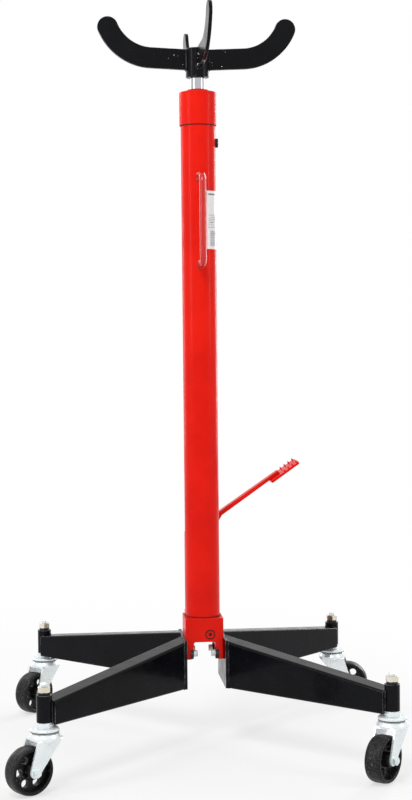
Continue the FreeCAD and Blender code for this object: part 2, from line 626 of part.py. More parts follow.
def leg_plate(sx):
    """Flat plate that two legs are welded to, with two studs through it."""
    corner_y = PLATE_REACH - PLATE_CORNER_R
    low_z = LEG_LOW + PLATE_CORNER_R
    high_z = LEG_LOW + LEG_INNER_HEIGHT - PLATE_CORNER_R
    outline = belt([(-corner_y, low_z, PLATE_CORNER_R), (corner_y, low_z, PLATE_CORNER_R),
                    (corner_y, high_z, PLATE_CORNER_R), (-corner_y, high_z, PLATE_CORNER_R)])
    plate = slab(outline, 0, LEG_PLATE_THICKNESS)
    plate.rotate(Vector(0, 0, 0), UP, -90 if sx > 0 else 90)
    plate.translate(Vector(sx * BLOCK_HALF, 0, 0))
    for sy in (-1, 1):
        plate = plate.cut(cylinder(STUD_R, 2 * PLATE_OUT, Vector(-PLATE_OUT, sy * STUD_Y, STUD_Z), ALONG_X))
    return plate


def leg_studs():
    length = PLATE_OUT - STUD_REACH
    studs = []
    for sx in (-1, 1):
        for sy in (-1, 1):
            stud = cylinder(STUD_R, length, Vector(sx * PLATE_OUT, sy * STUD_Y, STUD_Z), Vector(-sx, 0, 0))
            tip = edges_where(stud, lambda e: abs(e.BoundBox.XMax - sx * STUD_REACH) < 0.01)
            studs.append(stud.makeChamfer(THREAD_CHAMFER, tip))
    return Part.makeCompound(studs)


def leg_nuts():
    nuts = []
    for sx in (-1, 1):
        for sy in (-1, 1):
            seat = Vector(sx * NUT_SEAT_X, sy * STUD_Y, STUD_Z)
            nuts.append(hex_nut(LEG_NUT_AF, STUD_R, LEG_NUT_HEIGHT, seat, Vector(-sx, 0, 0)))
    return Part.makeCompound(nuts)


def stem_tubes():
    tube = ring(STEM_TUBE_R, KINGPIN_R + SLIP_FIT, STEM_TUBE_LENGTH, Vector(0, 0, STEM_LOW))
    return at_all_stems(tube)


# ------------------------------------------------------------------ casters
def kingpins():
    """Threaded stem, hexagon collar and riveted head of each caster, in one piece."""
    head_top = DOME_TOP - FORK_SHEET - SEAT_GAP
    head = cylinder(KINGPIN_HEAD_R, KINGPIN_HEAD_HEIGHT, Vector(0, 0, head_top - KINGPIN_HEAD_HEIGHT))
    shank_low = head_top - KINGPIN_HEAD_HEIGHT
    shank = cylinder(KINGPIN_R, STEM_NUT_HIGH + STUD_END - shank_low, Vector(0, 0, shank_low))
    tip = edges_where(shank, lambda e: e.BoundBox.ZMin > STEM_NUT_HIGH + STUD_END - 0.01)
    shank = shank.makeChamfer(THREAD_CHAMFER, tip)
    collar = hexagon(KINGPIN_HEX_AF, KINGPIN_HEX_HEIGHT, Vector(0, 0, RACE_TOP))
    return at_all_stems(shank.fuse(head).fuse(collar))


def stem_spacers():
    return at_all_stems(ring(STEM_SPACER_R, KINGPIN_R, STEM_SPACER_HEIGHT, Vector(0, 0, STEM_HIGH)))


def stem_nuts():
    return at_all_stems(hex_nut(STEM_NUT_AF, KINGPIN_R, STEM_NUT_HEIGHT, Vector(0, 0, STEM_NUT_LOW)))


def caster_races():
    """Pressed upper race of each caster, dished underneath."""
    lip_r = RACE_R - RACE_LIP
    dish_z = RACE_UNDER + DISH_DEPTH
    race = turned([(KINGPIN_R, dish_z), (lip_r - DISH_DEPTH, dish_z), (lip_r, RACE_UNDER),
                   (RACE_R, RACE_UNDER), (RACE_R, RACE_TOP - RACE_EDGE), (RACE_R - RACE_EDGE, RACE_TOP),
                   (KINGPIN_R, RACE_TOP)])
    return at_all_stems(race)


def bearing_cages():
    """Flat ball cage of each caster, held up in the race's dish."""
    low = Vector(0, 0, DOME_TOP + SEAT_GAP)
    cage = ring(RACE_R - CAGE_MARGIN, KINGPIN_R, CAGE_HEIGHT + DISH_DEPTH, low)
    return at_all_stems(cage)


def caster_fork(corner):
    """Pressed U-shaped fork with a raised dome that runs under the race."""
    half = FORK_TOP_LENGTH / 2
    side = belt([(CASTER_TRAIL, WHEEL_R, FORK_EYE_R), (half, CROWN_TOP, 0), (-half, CROWN_TOP, 0)])
    side = slab(side, -FORK_OUTSIDE, FORK_OUTSIDE)
    low = WHEEL_R - FORK_EYE_R - 1
    outer = belt([(-FORK_OUTSIDE, low, 0), (FORK_OUTSIDE, low, 0),
                  (FORK_OUTSIDE - FORK_BEND_R, CROWN_TOP - FORK_BEND_R, FORK_BEND_R),
                  (FORK_BEND_R - FORK_OUTSIDE, CROWN_TOP - FORK_BEND_R, FORK_BEND_R)])
    inner_r = FORK_BEND_R - FORK_SHEET
    inner = belt([(-FORK_INSIDE, low - 1, 0), (FORK_INSIDE, low - 1, 0),
                  (FORK_INSIDE - inner_r, CROWN_UNDER - inner_r, inner_r),
                  (inner_r - FORK_INSIDE, CROWN_UNDER - inner_r, inner_r)])
    length = 4 * FORK_TOP_LENGTH + CASTER_TRAIL
    channel = slab(outer, -length / 2, length / 2).cut(slab(inner, -length, length))
    channel.rotate(Vector(0, 0, 0), UP, 90)
    fork = side.common(channel)
    crown = cylinder(DOME_R, FORK_SHEET, Vector(0, 0, CROWN_UNDER))
    slope_r = DOME_R - DOME_SHOULDER / 2
    dome = turned([(0, CROWN_UNDER), (DOME_R, CROWN_UNDER), (DOME_R, CROWN_TOP + DOME_SKIRT),
                   (slope_r, DOME_TOP - DOME_HEIGHT / 4), (DOME_R - DOME_SHOULDER, DOME_TOP),
                   (0, DOME_TOP)])
    fork = fork.fuse(crown).fuse(dome)
    hollow_r = DOME_R - DOME_SHOULDER - FORK_SHEET / 2
    fork = fork.cut(cylinder(hollow_r, DOME_TOP - FORK_SHEET - CROWN_UNDER, Vector(0, 0, CROWN_UNDER)))
    pin_bore = cylinder(KINGPIN_R + RUNNING_FIT, DOME_HEIGHT * 2, Vector(0, 0, CROWN_TOP))
    aside = Vector(CASTER_TRAIL, -2 * FORK_OUTSIDE, WHEEL_R)
    axle_hole = cylinder(AXLE_R, 4 * FORK_OUTSIDE, aside, ALONG_Y)
    return at_caster(fork.cut(pin_bore).cut(axle_hole).removeSplitter(), corner)


def caster_axle(corner):
    """Axle bolt with a low round head, and its nut."""
    start = Vector(CASTER_TRAIL, -FORK_OUTSIDE, WHEEL_R)
    head = cylinder(AXLE_HEAD_R, AXLE_HEAD_HEIGHT, start, Vector(0, -1, 0))
    outer_y = -FORK_OUTSIDE - AXLE_HEAD_HEIGHT
    head = head.makeFillet(AXLE_HEAD_EDGE_R, edges_where(head, lambda e: e.BoundBox.YMax < outer_y + 0.01))
    shank = cylinder(AXLE_R, 2 * FORK_OUTSIDE + AXLE_NUT_HEIGHT + AXLE_END, start, ALONG_Y)
    nut_seat = start + Vector(0, 2 * FORK_OUTSIDE, 0)
    nut = hex_nut(AXLE_NUT_AF, AXLE_R, AXLE_NUT_HEIGHT, nut_seat, ALONG_Y)
    return at_caster(Part.makeCompound([head.fuse(shank), nut]), corner)


def wheel_about_axle(shape, corner):
    """Moves a shape turned about Z at the origin to a caster's axle."""
    placed = shape.copy()
    placed.rotate(Vector(0, 0, 0), ALONG_X, 90)
    placed.translate(Vector(CASTER_TRAIL, 0, WHEEL_R))
    return at_caster(placed, corner)


def caster_wheel(corner):
    """One-piece wheel: hub, thin web with round holes, and a rim with a nearly flat tread."""
    hub = WHEEL_HUB_WIDTH / 2
    web = WHEEL_WEB / 2
    tread = TREAD_WIDTH / 2
    rim_r = WHEEL_R - RIM_DEPTH
    hub_foot_r = WHEEL_HUB_R + MOULD_DRAFT
    rim_foot_r = rim_r - 2 * MOULD_DRAFT
    edge = MOULD_EDGE
    half = [(BUSH_R, hub), (WHEEL_HUB_R - edge, hub), (WHEEL_HUB_R, hub - MOULD_DRAFT), (hub_foot_r, web),
            (rim_foot_r, web), (rim_r, tread - edge), (rim_r + edge, tread), (WHEEL_R - TREAD_EDGE, tread),
            (WHEEL_R - TREAD_CROWN, tread - TREAD_EDGE), (WHEEL_R, tread / 2)]
    other = [(r, -y) for r, y in reversed(half)]
    wheel = turned(half + other)
    hole_circle = (hub_foot_r + rim_foot_r) / 2
    for k in range(WHEEL_HOLES):
        angle = 2 * math.pi * k / WHEEL_HOLES
        spot = Vector(hole_circle * math.cos(angle), hole_circle * math.sin(angle), -hub)
        wheel = wheel.cut(cylinder(WHEEL_HOLE_R, 2 * hub, spot))
    return wheel_about_axle(wheel, corner)


def wheel_bush(corner):
    length = 2 * (FORK_INSIDE - SEAT_GAP)
    bush = ring(BUSH_R, AXLE_R + RUNNING_FIT, length, Vector(0, 0, -length / 2))
    return wheel_about_axle(bush, corner)


# ------------------------------------------------------------------ ram and saddle
def piston_rod():
    top = SOCKET_FLOOR - SPIGOT_END_GAP
    return turned([(0, PISTON_LOW), (PISTON_SPIGOT_R, PISTON_LOW), (PISTON_SPIGOT_R, PISTON_HIGH),
                   (ROD_R, PISTON_HIGH), (ROD_R, SHOULDER - TURNED_EDGE), (ROD_R - TURNED_EDGE, SHOULDER),
                   (SPIGOT_R, SHOULDER), (SPIGOT_R, top - SPIGOT_EDGE), (SPIGOT_R - SPIGOT_EDGE, top),
                   (0, top)])


def piston():
    radius = BORE_R - RUNNING_FIT
    groove_r = radius - SEAL_DEPTH
    return turned([(PISTON_SPIGOT_R, PISTON_LOW), (radius - TURNED_EDGE, PISTON_LOW),
                   (radius, PISTON_LOW + TURNED_EDGE), (radius, SEAL_LOW), (groove_r, SEAL_LOW),
                   (groove_r, SEAL_HIGH), (radius, SEAL_HIGH), (radius, PISTON_HIGH),
                   (PISTON_SPIGOT_R, PISTON_HIGH)])


def piston_seal():
    radius = BORE_R - RUNNING_FIT
    return ring(radius, radius - SEAL_DEPTH, SEAL_HEIGHT, Vector(0, 0, SEAL_LOW))


def saddle_hub():
    """Turned hub that drops over the rod's spigot, with an adapter socket in its top."""
    bore = SPIGOT_R + RUNNING_FIT
    edge = TURNED_EDGE
    return turned([(bore, HUB_LOW), (HUB_R - edge, HUB_LOW), (HUB_R, HUB_LOW + edge),
                   (HUB_R, HUB_TOP - edge), (HUB_R - edge, HUB_TOP), (SOCKET_R, HUB_TOP),
                   (SOCKET_R, SOCKET_FLOOR), (bore, SOCKET_FLOOR)])


def saddle_arm(turn):
    """Flat plate on edge that runs out from the hub and curves up into a rounded horn."""
    half = ARM_HEIGHT / 2
    rise = math.radians(ARM_RISE)
    lean = math.radians(ARM_RISE + HORN_TURN)
    bend_x = HUB_R + ARM_STRAIGHT
    bend_z = ARM_MID + ARM_STRAIGHT * math.tan(rise)
    start_x = HUB_R * 0.8
    start_z = ARM_MID - (HUB_R - start_x) * math.tan(rise)
    centre_x = bend_x - HORN_R * math.sin(rise)
    centre_z = bend_z + HORN_R * math.cos(rise)
    low_r = HORN_R + half
    high_r = HORN_R - half

    def on_arc(radius, heading):
        return Vector(centre_x + radius * math.sin(heading), 0, centre_z - radius * math.cos(heading))

    middle = (rise + lean) / 2
    tip = on_arc(HORN_R, lean) + Vector(math.cos(lean), 0, math.sin(lean)) * half
    aside = Vector(-math.sin(rise), 0, math.cos(rise)) * half
    start_low = Vector(start_x, 0, start_z) - aside
    start_high = Vector(start_x, 0, start_z) + aside
    edges = [
        Part.LineSegment(start_low, on_arc(low_r, rise)).toShape(),
        Part.Arc(on_arc(low_r, rise), on_arc(low_r, middle), on_arc(low_r, lean)).toShape(),
        Part.Arc(on_arc(low_r, lean), tip, on_arc(high_r, lean)).toShape(),
        Part.Arc(on_arc(high_r, lean), on_arc(high_r, middle), on_arc(high_r, rise)).toShape(),
        Part.LineSegment(on_arc(high_r, rise), start_high).toShape(),
        Part.LineSegment(start_high, start_low).toShape()]
    plate = slab(Part.Face(Part.Wire(edges)), -ARM_THICKNESS / 2, ARM_THICKNESS / 2)
    plate = plate.cut(cylinder(HUB_R, HUB_HEIGHT * 2, Vector(0, 0, HUB_LOW - HUB_HEIGHT / 2)))
    plate.rotate(Vector(0, 0, 0), UP, turn)
    return plate


# ------------------------------------------------------------------ foot pump
def pump_barrel():
    barrel = cylinder(BARREL_R, BARREL_HEIGHT, Vector(PUMP_X, PUMP_Y, BLOCK_TOP))
    floor = Vector(PUMP_X, PUMP_Y, BLOCK_TOP + BARREL_FLOOR)
    bore = cylinder(PLUNGER_R + RUNNING_FIT, BARREL_HEIGHT, floor)
    return barrel.cut(bore)


def pump_gland_nut():
    seat = Vector(PUMP_X, PUMP_Y, BARREL_TOP)
    return hex_nut(GLAND_NUT_AF, PLUNGER_R + SEAT_GAP, GLAND_NUT_HEIGHT, seat)


def return_spring():
    """Envelope of the coil spring between the gland nut and the plunger's collar."""
    outer = COLLAR_R - SPRING_MARGIN
    return ring(outer, outer - SPRING_WIRE, COLLAR_LOW - SPRING_SEAT, Vector(PUMP_X, PUMP_Y, SPRING_SEAT))


def pump_plunger():
    """Plunger with a spring collar and a flat head that is slotted for the lever's link pin."""
    low = BLOCK_TOP + BARREL_FLOOR + PUMP_STROKE + PLUNGER_TRAVEL_RESERVE
    body = cylinder(PLUNGER_R, COLLAR_LOW - low, Vector(PUMP_X, PUMP_Y, low))
    body = body.fuse(cylinder(COLLAR_R, COLLAR_HEIGHT, Vector(PUMP_X, PUMP_Y, COLLAR_LOW)))
    half_y = LEVER_CHEEK_GAP / 2 - HEAD_SIDE_GAP
    half_x = HEAD_LENGTH / 2
    corner_x = half_x - HEAD_EDGE_R
    corner_z = PIN_REST_Z + LEVER_EAR_R - HEAD_EDGE_R
    outline = belt([(PUMP_X - half_x, COLLAR_HIGH - 1, 0), (PUMP_X + half_x, COLLAR_HIGH - 1, 0),
                    (PUMP_X + corner_x, corner_z, HEAD_EDGE_R), (PUMP_X - corner_x, corner_z, HEAD_EDGE_R)])
    body = body.fuse(slab(outline, PUMP_Y - half_y, PUMP_Y + half_y))
    slot_r = LINK_PIN_R + SLOT_PLAY
    slot_half = PIN_SHIFT + SLOT_END_PLAY
    slot = belt([(PUMP_X - slot_half, PIN_REST_Z, slot_r), (PUMP_X + slot_half, PIN_REST_Z, slot_r)])
    return body.cut(slab(slot, PUMP_Y - BARREL_R, PUMP_Y + BARREL_R)).removeSplitter()


def pedal_bracket():
    """U-shaped bracket on the pump block that holds the lever's fulcrum pin."""
    left = FULCRUM_X - BRACKET_EYE_R
    right = FULCRUM_X + BRACKET_EYE_R + BRACKET_FOOT
    outline = belt([(left, BLOCK_TOP, 0), (right, BLOCK_TOP, 0), (FULCRUM_X, FULCRUM_Z, BRACKET_EYE_R)])
    body = slab(outline, PUMP_Y - BRACKET_OUT, PUMP_Y - BRACKET_IN)
    body = body.fuse(slab(outline, PUMP_Y + BRACKET_IN, PUMP_Y + BRACKET_OUT))
    body = body.fuse(block((left, PUMP_Y - BRACKET_OUT, BLOCK_TOP),
                           (right, PUMP_Y + BRACKET_OUT, BLOCK_TOP + BRACKET_SHEET)))
    barrel_room = cylinder(BARREL_R + NUT_ROOM, BARREL_HEIGHT, Vector(PUMP_X, PUMP_Y, BLOCK_TOP))
    pin_start = Vector(FULCRUM_X, PUMP_Y - 2 * BRACKET_OUT, FULCRUM_Z)
    pin_hole = cylinder(FULCRUM_PIN_R, 4 * BRACKET_OUT, pin_start, ALONG_Y)
    return body.cut(barrel_room).cut(pin_hole).removeSplitter()


def fulcrum_pin():
    start = Vector(FULCRUM_X, PUMP_Y - BRACKET_OUT, FULCRUM_Z)
    pin = cylinder(FULCRUM_PIN_R, 2 * BRACKET_OUT + PIN_END, start, ALONG_Y)
    head = cylinder(FULCRUM_PIN_R + PIN_HEAD_STEP, PIN_HEAD_HEIGHT, start, Vector(0, -1, 0))
    return pin.fuse(head)


def on_lever(shape):
    """Moves a shape made along +X from the fulcrum to the lever's rest place."""
    placed = shape.copy()
    placed.rotate(Vector(0, 0, 0), ALONG_Y, -LEVER_ANGLE)
    placed.translate(Vector(FULCRUM_X, PUMP_Y, FULCRUM_Z))
    return placed


def link_pin_local():
    """Link pin's place along and across the lever, measured from the fulcrum."""
    below = math.radians(LEVER_ANGLE) - PIN_SWING
    return LEVER_ARM * math.cos(below), -LEVER_ARM * math.sin(below)


def pedal_lever():
    """Two cheeks on a hub, joined to a tapered bar that lies on the pedal plate."""
    pin_s, pin_n = link_pin_local()
    bar_start = LEVER_ARM + LEVER_FORK
    cheek_end = bar_start + LEVER_FORK_LAP
    corner_n = LEVER_HALF - CHEEK_END_R
    bar_end = LEVER_REACH - PEDAL_LENGTH + PEDAL_OVERLAP
    cheek = belt([(0, 0, LEVER_HUB_R), (pin_s, pin_n, LEVER_EAR_R), (cheek_end, -corner_n, CHEEK_END_R),
                  (cheek_end, corner_n, CHEEK_END_R)])
    gap = LEVER_CHEEK_GAP / 2
    lever = slab(cheek, gap, LEVER_HALF_WIDTH).fuse(slab(cheek, -LEVER_HALF_WIDTH, -gap))
    hub = cylinder(LEVER_HUB_R, 2 * LEVER_HALF_WIDTH, Vector(0, -LEVER_HALF_WIDTH, 0), ALONG_Y)
    bar = polygon([(bar_start, -LEVER_HALF), (bar_end, -LEVER_HALF),
                   (bar_end, LEVER_TIP - LEVER_HALF), (bar_start, LEVER_HALF)])
    bar = slab(bar, -LEVER_BAR_WIDTH / 2, LEVER_BAR_WIDTH / 2)
    lever = lever.fuse(hub).fuse(bar)
    lever = lever.cut(cylinder(FULCRUM_PIN_R + RUNNING_FIT, 4 * LEVER_HALF_WIDTH,
                               Vector(0, -2 * LEVER_HALF_WIDTH, 0), ALONG_Y))
    lever = lever.cut(cylinder(LINK_PIN_R, 4 * LEVER_HALF_WIDTH,
                               Vector(pin_s, -2 * LEVER_HALF_WIDTH, pin_n), ALONG_Y))
    return on_lever(lever.removeSplitter())


def pedal_link_pin():
    pin_s, pin_n = link_pin_local()
    pin = cylinder(LINK_PIN_R, 2 * LEVER_HALF_WIDTH, Vector(pin_s, -LEVER_HALF_WIDTH, pin_n), ALONG_Y)
    return on_lever(pin)


def pedal_plate():
    """Foot plate under the lever's end, with rows of raised grip teeth."""
    start = LEVER_REACH - PEDAL_LENGTH
    top = -LEVER_HALF
    half = PEDAL_WIDTH / 2
    plate = block((start, -half, top - PEDAL_THICKNESS), (LEVER_REACH, half, top))
    corners = edges_where(plate, lambda e: abs(e.Length - PEDAL_THICKNESS) < 0.01)
    plate = plate.makeFillet(PEDAL_CORNER_R, corners)
    pitch_s = (PEDAL_LENGTH - PEDAL_OVERLAP - TOOTH_SIZE) / TOOTH_ROWS
    pitch_y = (PEDAL_WIDTH - 3 * TOOTH_SIZE) / (TOOTH_COLUMNS - 1)
    for row in range(TOOTH_ROWS):
        s = LEVER_REACH - TOOTH_SIZE - row * pitch_s
        for column in range(TOOTH_COLUMNS):
            y = (column - (TOOTH_COLUMNS - 1) / 2) * pitch_y
            tooth = Part.makeCone(TOOTH_SIZE / 2, TOOTH_SIZE / 4, TOOTH_SIZE, Vector(s, y, top))
            plate = plate.fuse(tooth)
    return on_lever(plate)


# ------------------------------------------------------------------ all sub-parts
def all_parts():
    parts = {
        "base_housing": base_housing(),
        "gallery_plug": gallery_plug(),
        "pump_block": pump_block(),
        "release_valve": release_valve(),
        "column_tube": column_tube(),
        "cylinder_tube": cylinder_tube(),
        "top_gland": top_gland(),
        "rod_guide_bush": rod_guide_bush(),
        "rod_wiper": rod_wiper(),
        "filler_plug": filler_plug(),
        "carry_handle": carry_handle(),
        "product_label": product_label(),
        "leg_plate_left": leg_plate(-1),
        "leg_plate_right": leg_plate(1),
        "leg_studs": leg_studs(),
        "leg_nuts": leg_nuts(),
        "stem_tubes": stem_tubes(),
        "caster_kingpins": kingpins(),
        "stem_spacers": stem_spacers(),
        "stem_nuts": stem_nuts(),
        "caster_races": caster_races(),
        "bearing_cages": bearing_cages(),
        "pump_barrel": pump_barrel(),
        "pump_gland_nut": pump_gland_nut(),
        "return_spring": return_spring(),
        "pump_plunger": pump_plunger(),
        "pedal_bracket": pedal_bracket(),
        "fulcrum_pin": fulcrum_pin(),
        "pedal_lever": pedal_lever(),
        "pedal_link_pin": pedal_link_pin(),
        "pedal_plate": pedal_plate(),
        "piston_rod": piston_rod(),
        "piston": piston(),
        "piston_seal": piston_seal(),
        "saddle_hub": saddle_hub(),
    }
    for k in range(ARM_COUNT):
        parts["saddle_arm_%d" % (k + 1)] = saddle_arm(SADDLE_TURN + k * 360.0 / ARM_COUNT)
    for corner in CORNERS:
        parts["leg_" + corner] = leg(corner)
        parts["fork_" + corner] = caster_fork(corner)
        parts["axle_" + corner] = caster_axle(corner)
        parts["wheel_" + corner] = caster_wheel(corner)
        parts["bush_" + corner] = wheel_bush(corner)
    return parts


def main():
    os.makedirs("parts", exist_ok=True)
    for name, shape in all_parts().items():
        solids = shape.Solids
        good = shape.isValid() and len(solids) > 0
        out = Part.makeCompound(solids) if len(solids) > 1 else solids[0]
        out.exportStep("parts/%s.step" % name)
        print("%-22s solids %2d  volume %10.0f  valid %s" % (name, len(solids), out.Volume, good))
    print("ram travel %.1f  pump stroke %.3f  ratio %.5f m/rad"
          % (RAM_TRAVEL, PUMP_STROKE, -PUMP_STROKE / (2 * PIN_SWING) / 1000))


main()
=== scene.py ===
# %% [markdown]
# # A hydraulic transmission jack on casters
# The jack stands in a garage and lifts a gearbox on a four-horn saddle. Its moving frame
# comes ready made, in metres, with +Z up and the floor at zero. This lesson dresses that
# frame: it adds the small pieces that show how a jack is put together, such as weld beads,
# threads and a coil spring, and it gives each finish its paint, plating or rubber.

# %% Load the frame
import bpy
import bmesh
import json
import math
import random

from mathutils import Matrix, Vector


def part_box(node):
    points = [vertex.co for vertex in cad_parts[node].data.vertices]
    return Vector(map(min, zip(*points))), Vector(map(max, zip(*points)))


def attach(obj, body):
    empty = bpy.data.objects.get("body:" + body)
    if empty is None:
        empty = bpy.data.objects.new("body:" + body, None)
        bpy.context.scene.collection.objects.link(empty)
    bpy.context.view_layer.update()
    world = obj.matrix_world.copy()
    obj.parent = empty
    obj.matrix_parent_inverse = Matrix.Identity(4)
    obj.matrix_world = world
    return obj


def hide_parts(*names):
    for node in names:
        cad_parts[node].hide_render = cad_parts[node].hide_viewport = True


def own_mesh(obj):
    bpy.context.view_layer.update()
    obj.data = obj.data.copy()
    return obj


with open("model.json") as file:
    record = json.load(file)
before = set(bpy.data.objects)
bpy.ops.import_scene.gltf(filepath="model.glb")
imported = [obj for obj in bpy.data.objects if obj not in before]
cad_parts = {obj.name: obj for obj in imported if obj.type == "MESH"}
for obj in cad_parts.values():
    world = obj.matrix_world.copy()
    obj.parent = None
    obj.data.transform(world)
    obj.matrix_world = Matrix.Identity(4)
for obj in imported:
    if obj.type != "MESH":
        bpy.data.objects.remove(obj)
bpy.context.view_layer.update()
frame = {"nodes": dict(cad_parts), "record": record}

# %% [markdown]
# The camera comes next, because it decides what the lesson looks at. The jack is tall and
# slim, so a long lens from almost three metres keeps its column straight. The camera stands
# a little to the left, at the height of the column's middle, and looks slightly down, which
# shows the tops of the front legs and the underside of the saddle's arms.

# %% Camera
camera_place = Vector((-0.267, -2.820, 0.726))
camera_heading = math.radians(5.6)
camera_dip = math.radians(2.55)
camera_roll = math.radians(-0.56)

camera_data = bpy.data.cameras.new("camera")
camera_data.sensor_fit = "AUTO"
camera_data.sensor_width = 36.0
camera_data.lens = 73.2
camera_data.clip_end = 60.0
camera = bpy.data.objects.new("camera", camera_data)
camera.matrix_world = (
    Matrix.Translation(camera_place)
    @ Matrix.Rotation(-camera_heading, 4, "Z")
    @ Matrix.Rotation(math.pi / 2 - camera_dip, 4, "X")
    @ Matrix.Rotation(camera_roll, 4, "Z"))
bpy.context.scene.collection.objects.link(camera)
bpy.context.scene.camera = camera
bpy.context.scene.view_settings.view_transform = "Standard"
print("camera:", tuple(round(v, 3) for v in camera_place), "lens", camera_data.lens)

# %% [markdown]
# Every finish below is a small network of nodes, so a few short helpers keep them readable.
# `add` makes a node and fills its sockets by name, `grain` is a noise at a scale counted in
# lumps per metre, `ramp` bends a grey value into a range, `sums` is one step of
# arithmetic, `measured` turns positions into a number, and `blend` mixes two colours.
# All patterns read Object coordinates. The pieces sit at the origin, so these are metres
# on the jack itself, and a pattern never slides when a part moves.

# %% Node helpers
def new_finish(name):
    material = bpy.data.materials.new(name)
    material.use_nodes = True
    tree = material.node_tree
    tree.nodes.clear()
    output = tree.nodes.new("ShaderNodeOutputMaterial")
    shader = tree.nodes.new("ShaderNodeBsdfPrincipled")
    tree.links.new(shader.outputs["BSDF"], output.inputs["Surface"])
    return material, tree, shader


def add(tree, kind, links=None, **values):
    node = tree.nodes.new("ShaderNode" + kind)
    for name, value in values.items():
        node.inputs[name.replace("_", " ")].default_value = value
    for name, socket in (links or {}).items():
        tree.links.new(socket, node.inputs[name])
    return node


def place_on(tree, centre=(0, 0, 0), stretch=(1, 1, 1)):
    """Object coordinates, moved to a centre and stretched along the axes."""
    coordinates = add(tree, "TexCoord")
    mapping = add(tree, "Mapping", {"Vector": coordinates.outputs["Object"]})
    mapping.inputs["Location"].default_value = [-c * s for c, s in zip(centre, stretch)]
    mapping.inputs["Scale"].default_value = stretch
    return mapping.outputs["Vector"]


def grain(tree, where, scale, detail=4.0, roughness=0.55):
    noise = add(tree, "TexNoise", {"Vector": where}, Scale=scale, Detail=detail, Roughness=roughness)
    return noise.outputs["Fac"]


def ramp(tree, grey, low, high, to_low=0.0, to_high=1.0):
    """Grey values from low to high, spread smoothly over to_low to to_high."""
    node = add(tree, "MapRange", {"Value": grey}, From_Min=low, From_Max=high)
    node.interpolation_type = "SMOOTHSTEP"
    node.inputs["To Min"].default_value = to_low
    node.inputs["To Max"].default_value = to_high
    return node.outputs["Result"]


def sums(tree, kind, first, second=0.0):
    node = tree.nodes.new("ShaderNodeMath")
    node.operation = kind
    for socket, value in zip(node.inputs, (first, second)):
        if isinstance(value, (int, float)):
            socket.default_value = value
        else:
            tree.links.new(value, socket)
    return node.outputs["Value"]


def measured(tree, operation, first, second=(0, 0, 0)):
    """A dot product or a length, as a grey value."""
    node = tree.nodes.new("ShaderNodeVectorMath")
    node.operation = operation
    tree.links.new(first, node.inputs[0])
    if isinstance(second, tuple):
        node.inputs[1].default_value = second
    else:
        tree.links.new(second, node.inputs[1])
    return node.outputs["Value"]


def blend(tree, grey, first, second):
    """A colour that runs from first to second; each is a colour or a socket."""
    node = tree.nodes.new("ShaderNodeMix")
    node.data_type = "RGBA"
    tree.links.new(grey, node.inputs[0])
    for socket, value in ((node.inputs[6], first), (node.inputs[7], second)):
        if isinstance(value, tuple):
            socket.default_value = value + (1.0,)
        else:
            tree.links.new(value, socket)
    return node.outputs[2]


def relief(tree, shader, height, distance, strength=1.0, under=None):
    """Fine relief: distance is the pattern's height in metres, under a normal to build on."""
    links = {"Height": height}
    if under is not None:
        links["Normal"] = under
    bump = add(tree, "Bump", links, Strength=strength, Distance=distance)
    tree.links.new(bump.outputs["Normal"], shader.inputs["Normal"])


def edge_wear_and_highlight(tree, radius):
    """White on sharp edges: where a rounded normal leaves the true one."""
    rounded = add(tree, "Bevel", Radius=radius)
    rounded.samples = 6
    true = add(tree, "NewGeometry")
    agreement = measured(tree, "DOT_PRODUCT", rounded.outputs["Normal"], true.outputs["Normal"])
    return ramp(tree, agreement, 0.97, 0.84)


print("node helpers ready")

# %% [markdown]
# Enamel is sprayed on and baked. It is glossy but never flat: its surface has a faint
# orange peel a few millimetres across, its edges are paler, partly from wear and partly as
# a painted highlight, and it gathers a little dust. Red and black are the same paint in two
# colours, so one function makes both. The handle is a third call: the same red painted
# darker, as painted shade on the thin bar, under a much heavier clear coat. The coat's
# values are plain numbers on the shader. A Bevel node rounds every edge by two millimetres,
# in the shading only.

# %% Enamel
def enamel(name, main, deep, edge, dust, base_roughness, gloss, coat):
    material, tree, shader = new_finish(name)
    where = place_on(tree)
    clouds = ramp(tree, grain(tree, where, 9.0, 3.0), 0.35, 0.68)
    colour = blend(tree, clouds, main, deep)
    patchy = ramp(tree, grain(tree, where, 60.0), 0.36, 0.60)
    # Paler edges: partly wear, and partly a painted highlight along every edge.
    rubbed_and_highlit = sums(tree, "MULTIPLY", edge_wear_and_highlight(tree, 0.0014), patchy)
    colour = blend(tree, sums(tree, "MULTIPLY", rubbed_and_highlit, 0.75), colour, edge)
    specks = ramp(tree, grain(tree, where, 620.0, 2.0), 0.70, 0.80, 0.0, 0.35)
    colour = blend(tree, specks, colour, dust)
    tree.links.new(colour, shader.inputs["Base Color"])
    lumps = grain(tree, where, 42.0, 5.0)
    mottle = ramp(tree, lumps, 0.3, 0.75, base_roughness, base_roughness + 0.14)
    rough = sums(tree, "ADD", mottle, sums(tree, "MULTIPLY", specks, 0.5))
    tree.links.new(rough, shader.inputs["Roughness"])
    peel = grain(tree, where, 330.0, 2.0, 0.45)
    ripple = sums(tree, "ADD", peel, sums(tree, "MULTIPLY", grain(tree, where, 38.0, 2.0), 2.2))
    soft_edges = add(tree, "Bevel", Radius=0.0022)
    relief(tree, shader, ripple, 0.00022, 0.55, soft_edges.outputs["Normal"])
    shader.inputs["Coat Weight"].default_value = coat
    shader.inputs["Coat Roughness"].default_value = 0.06
    shader.inputs["Specular IOR Level"].default_value = gloss
    return material


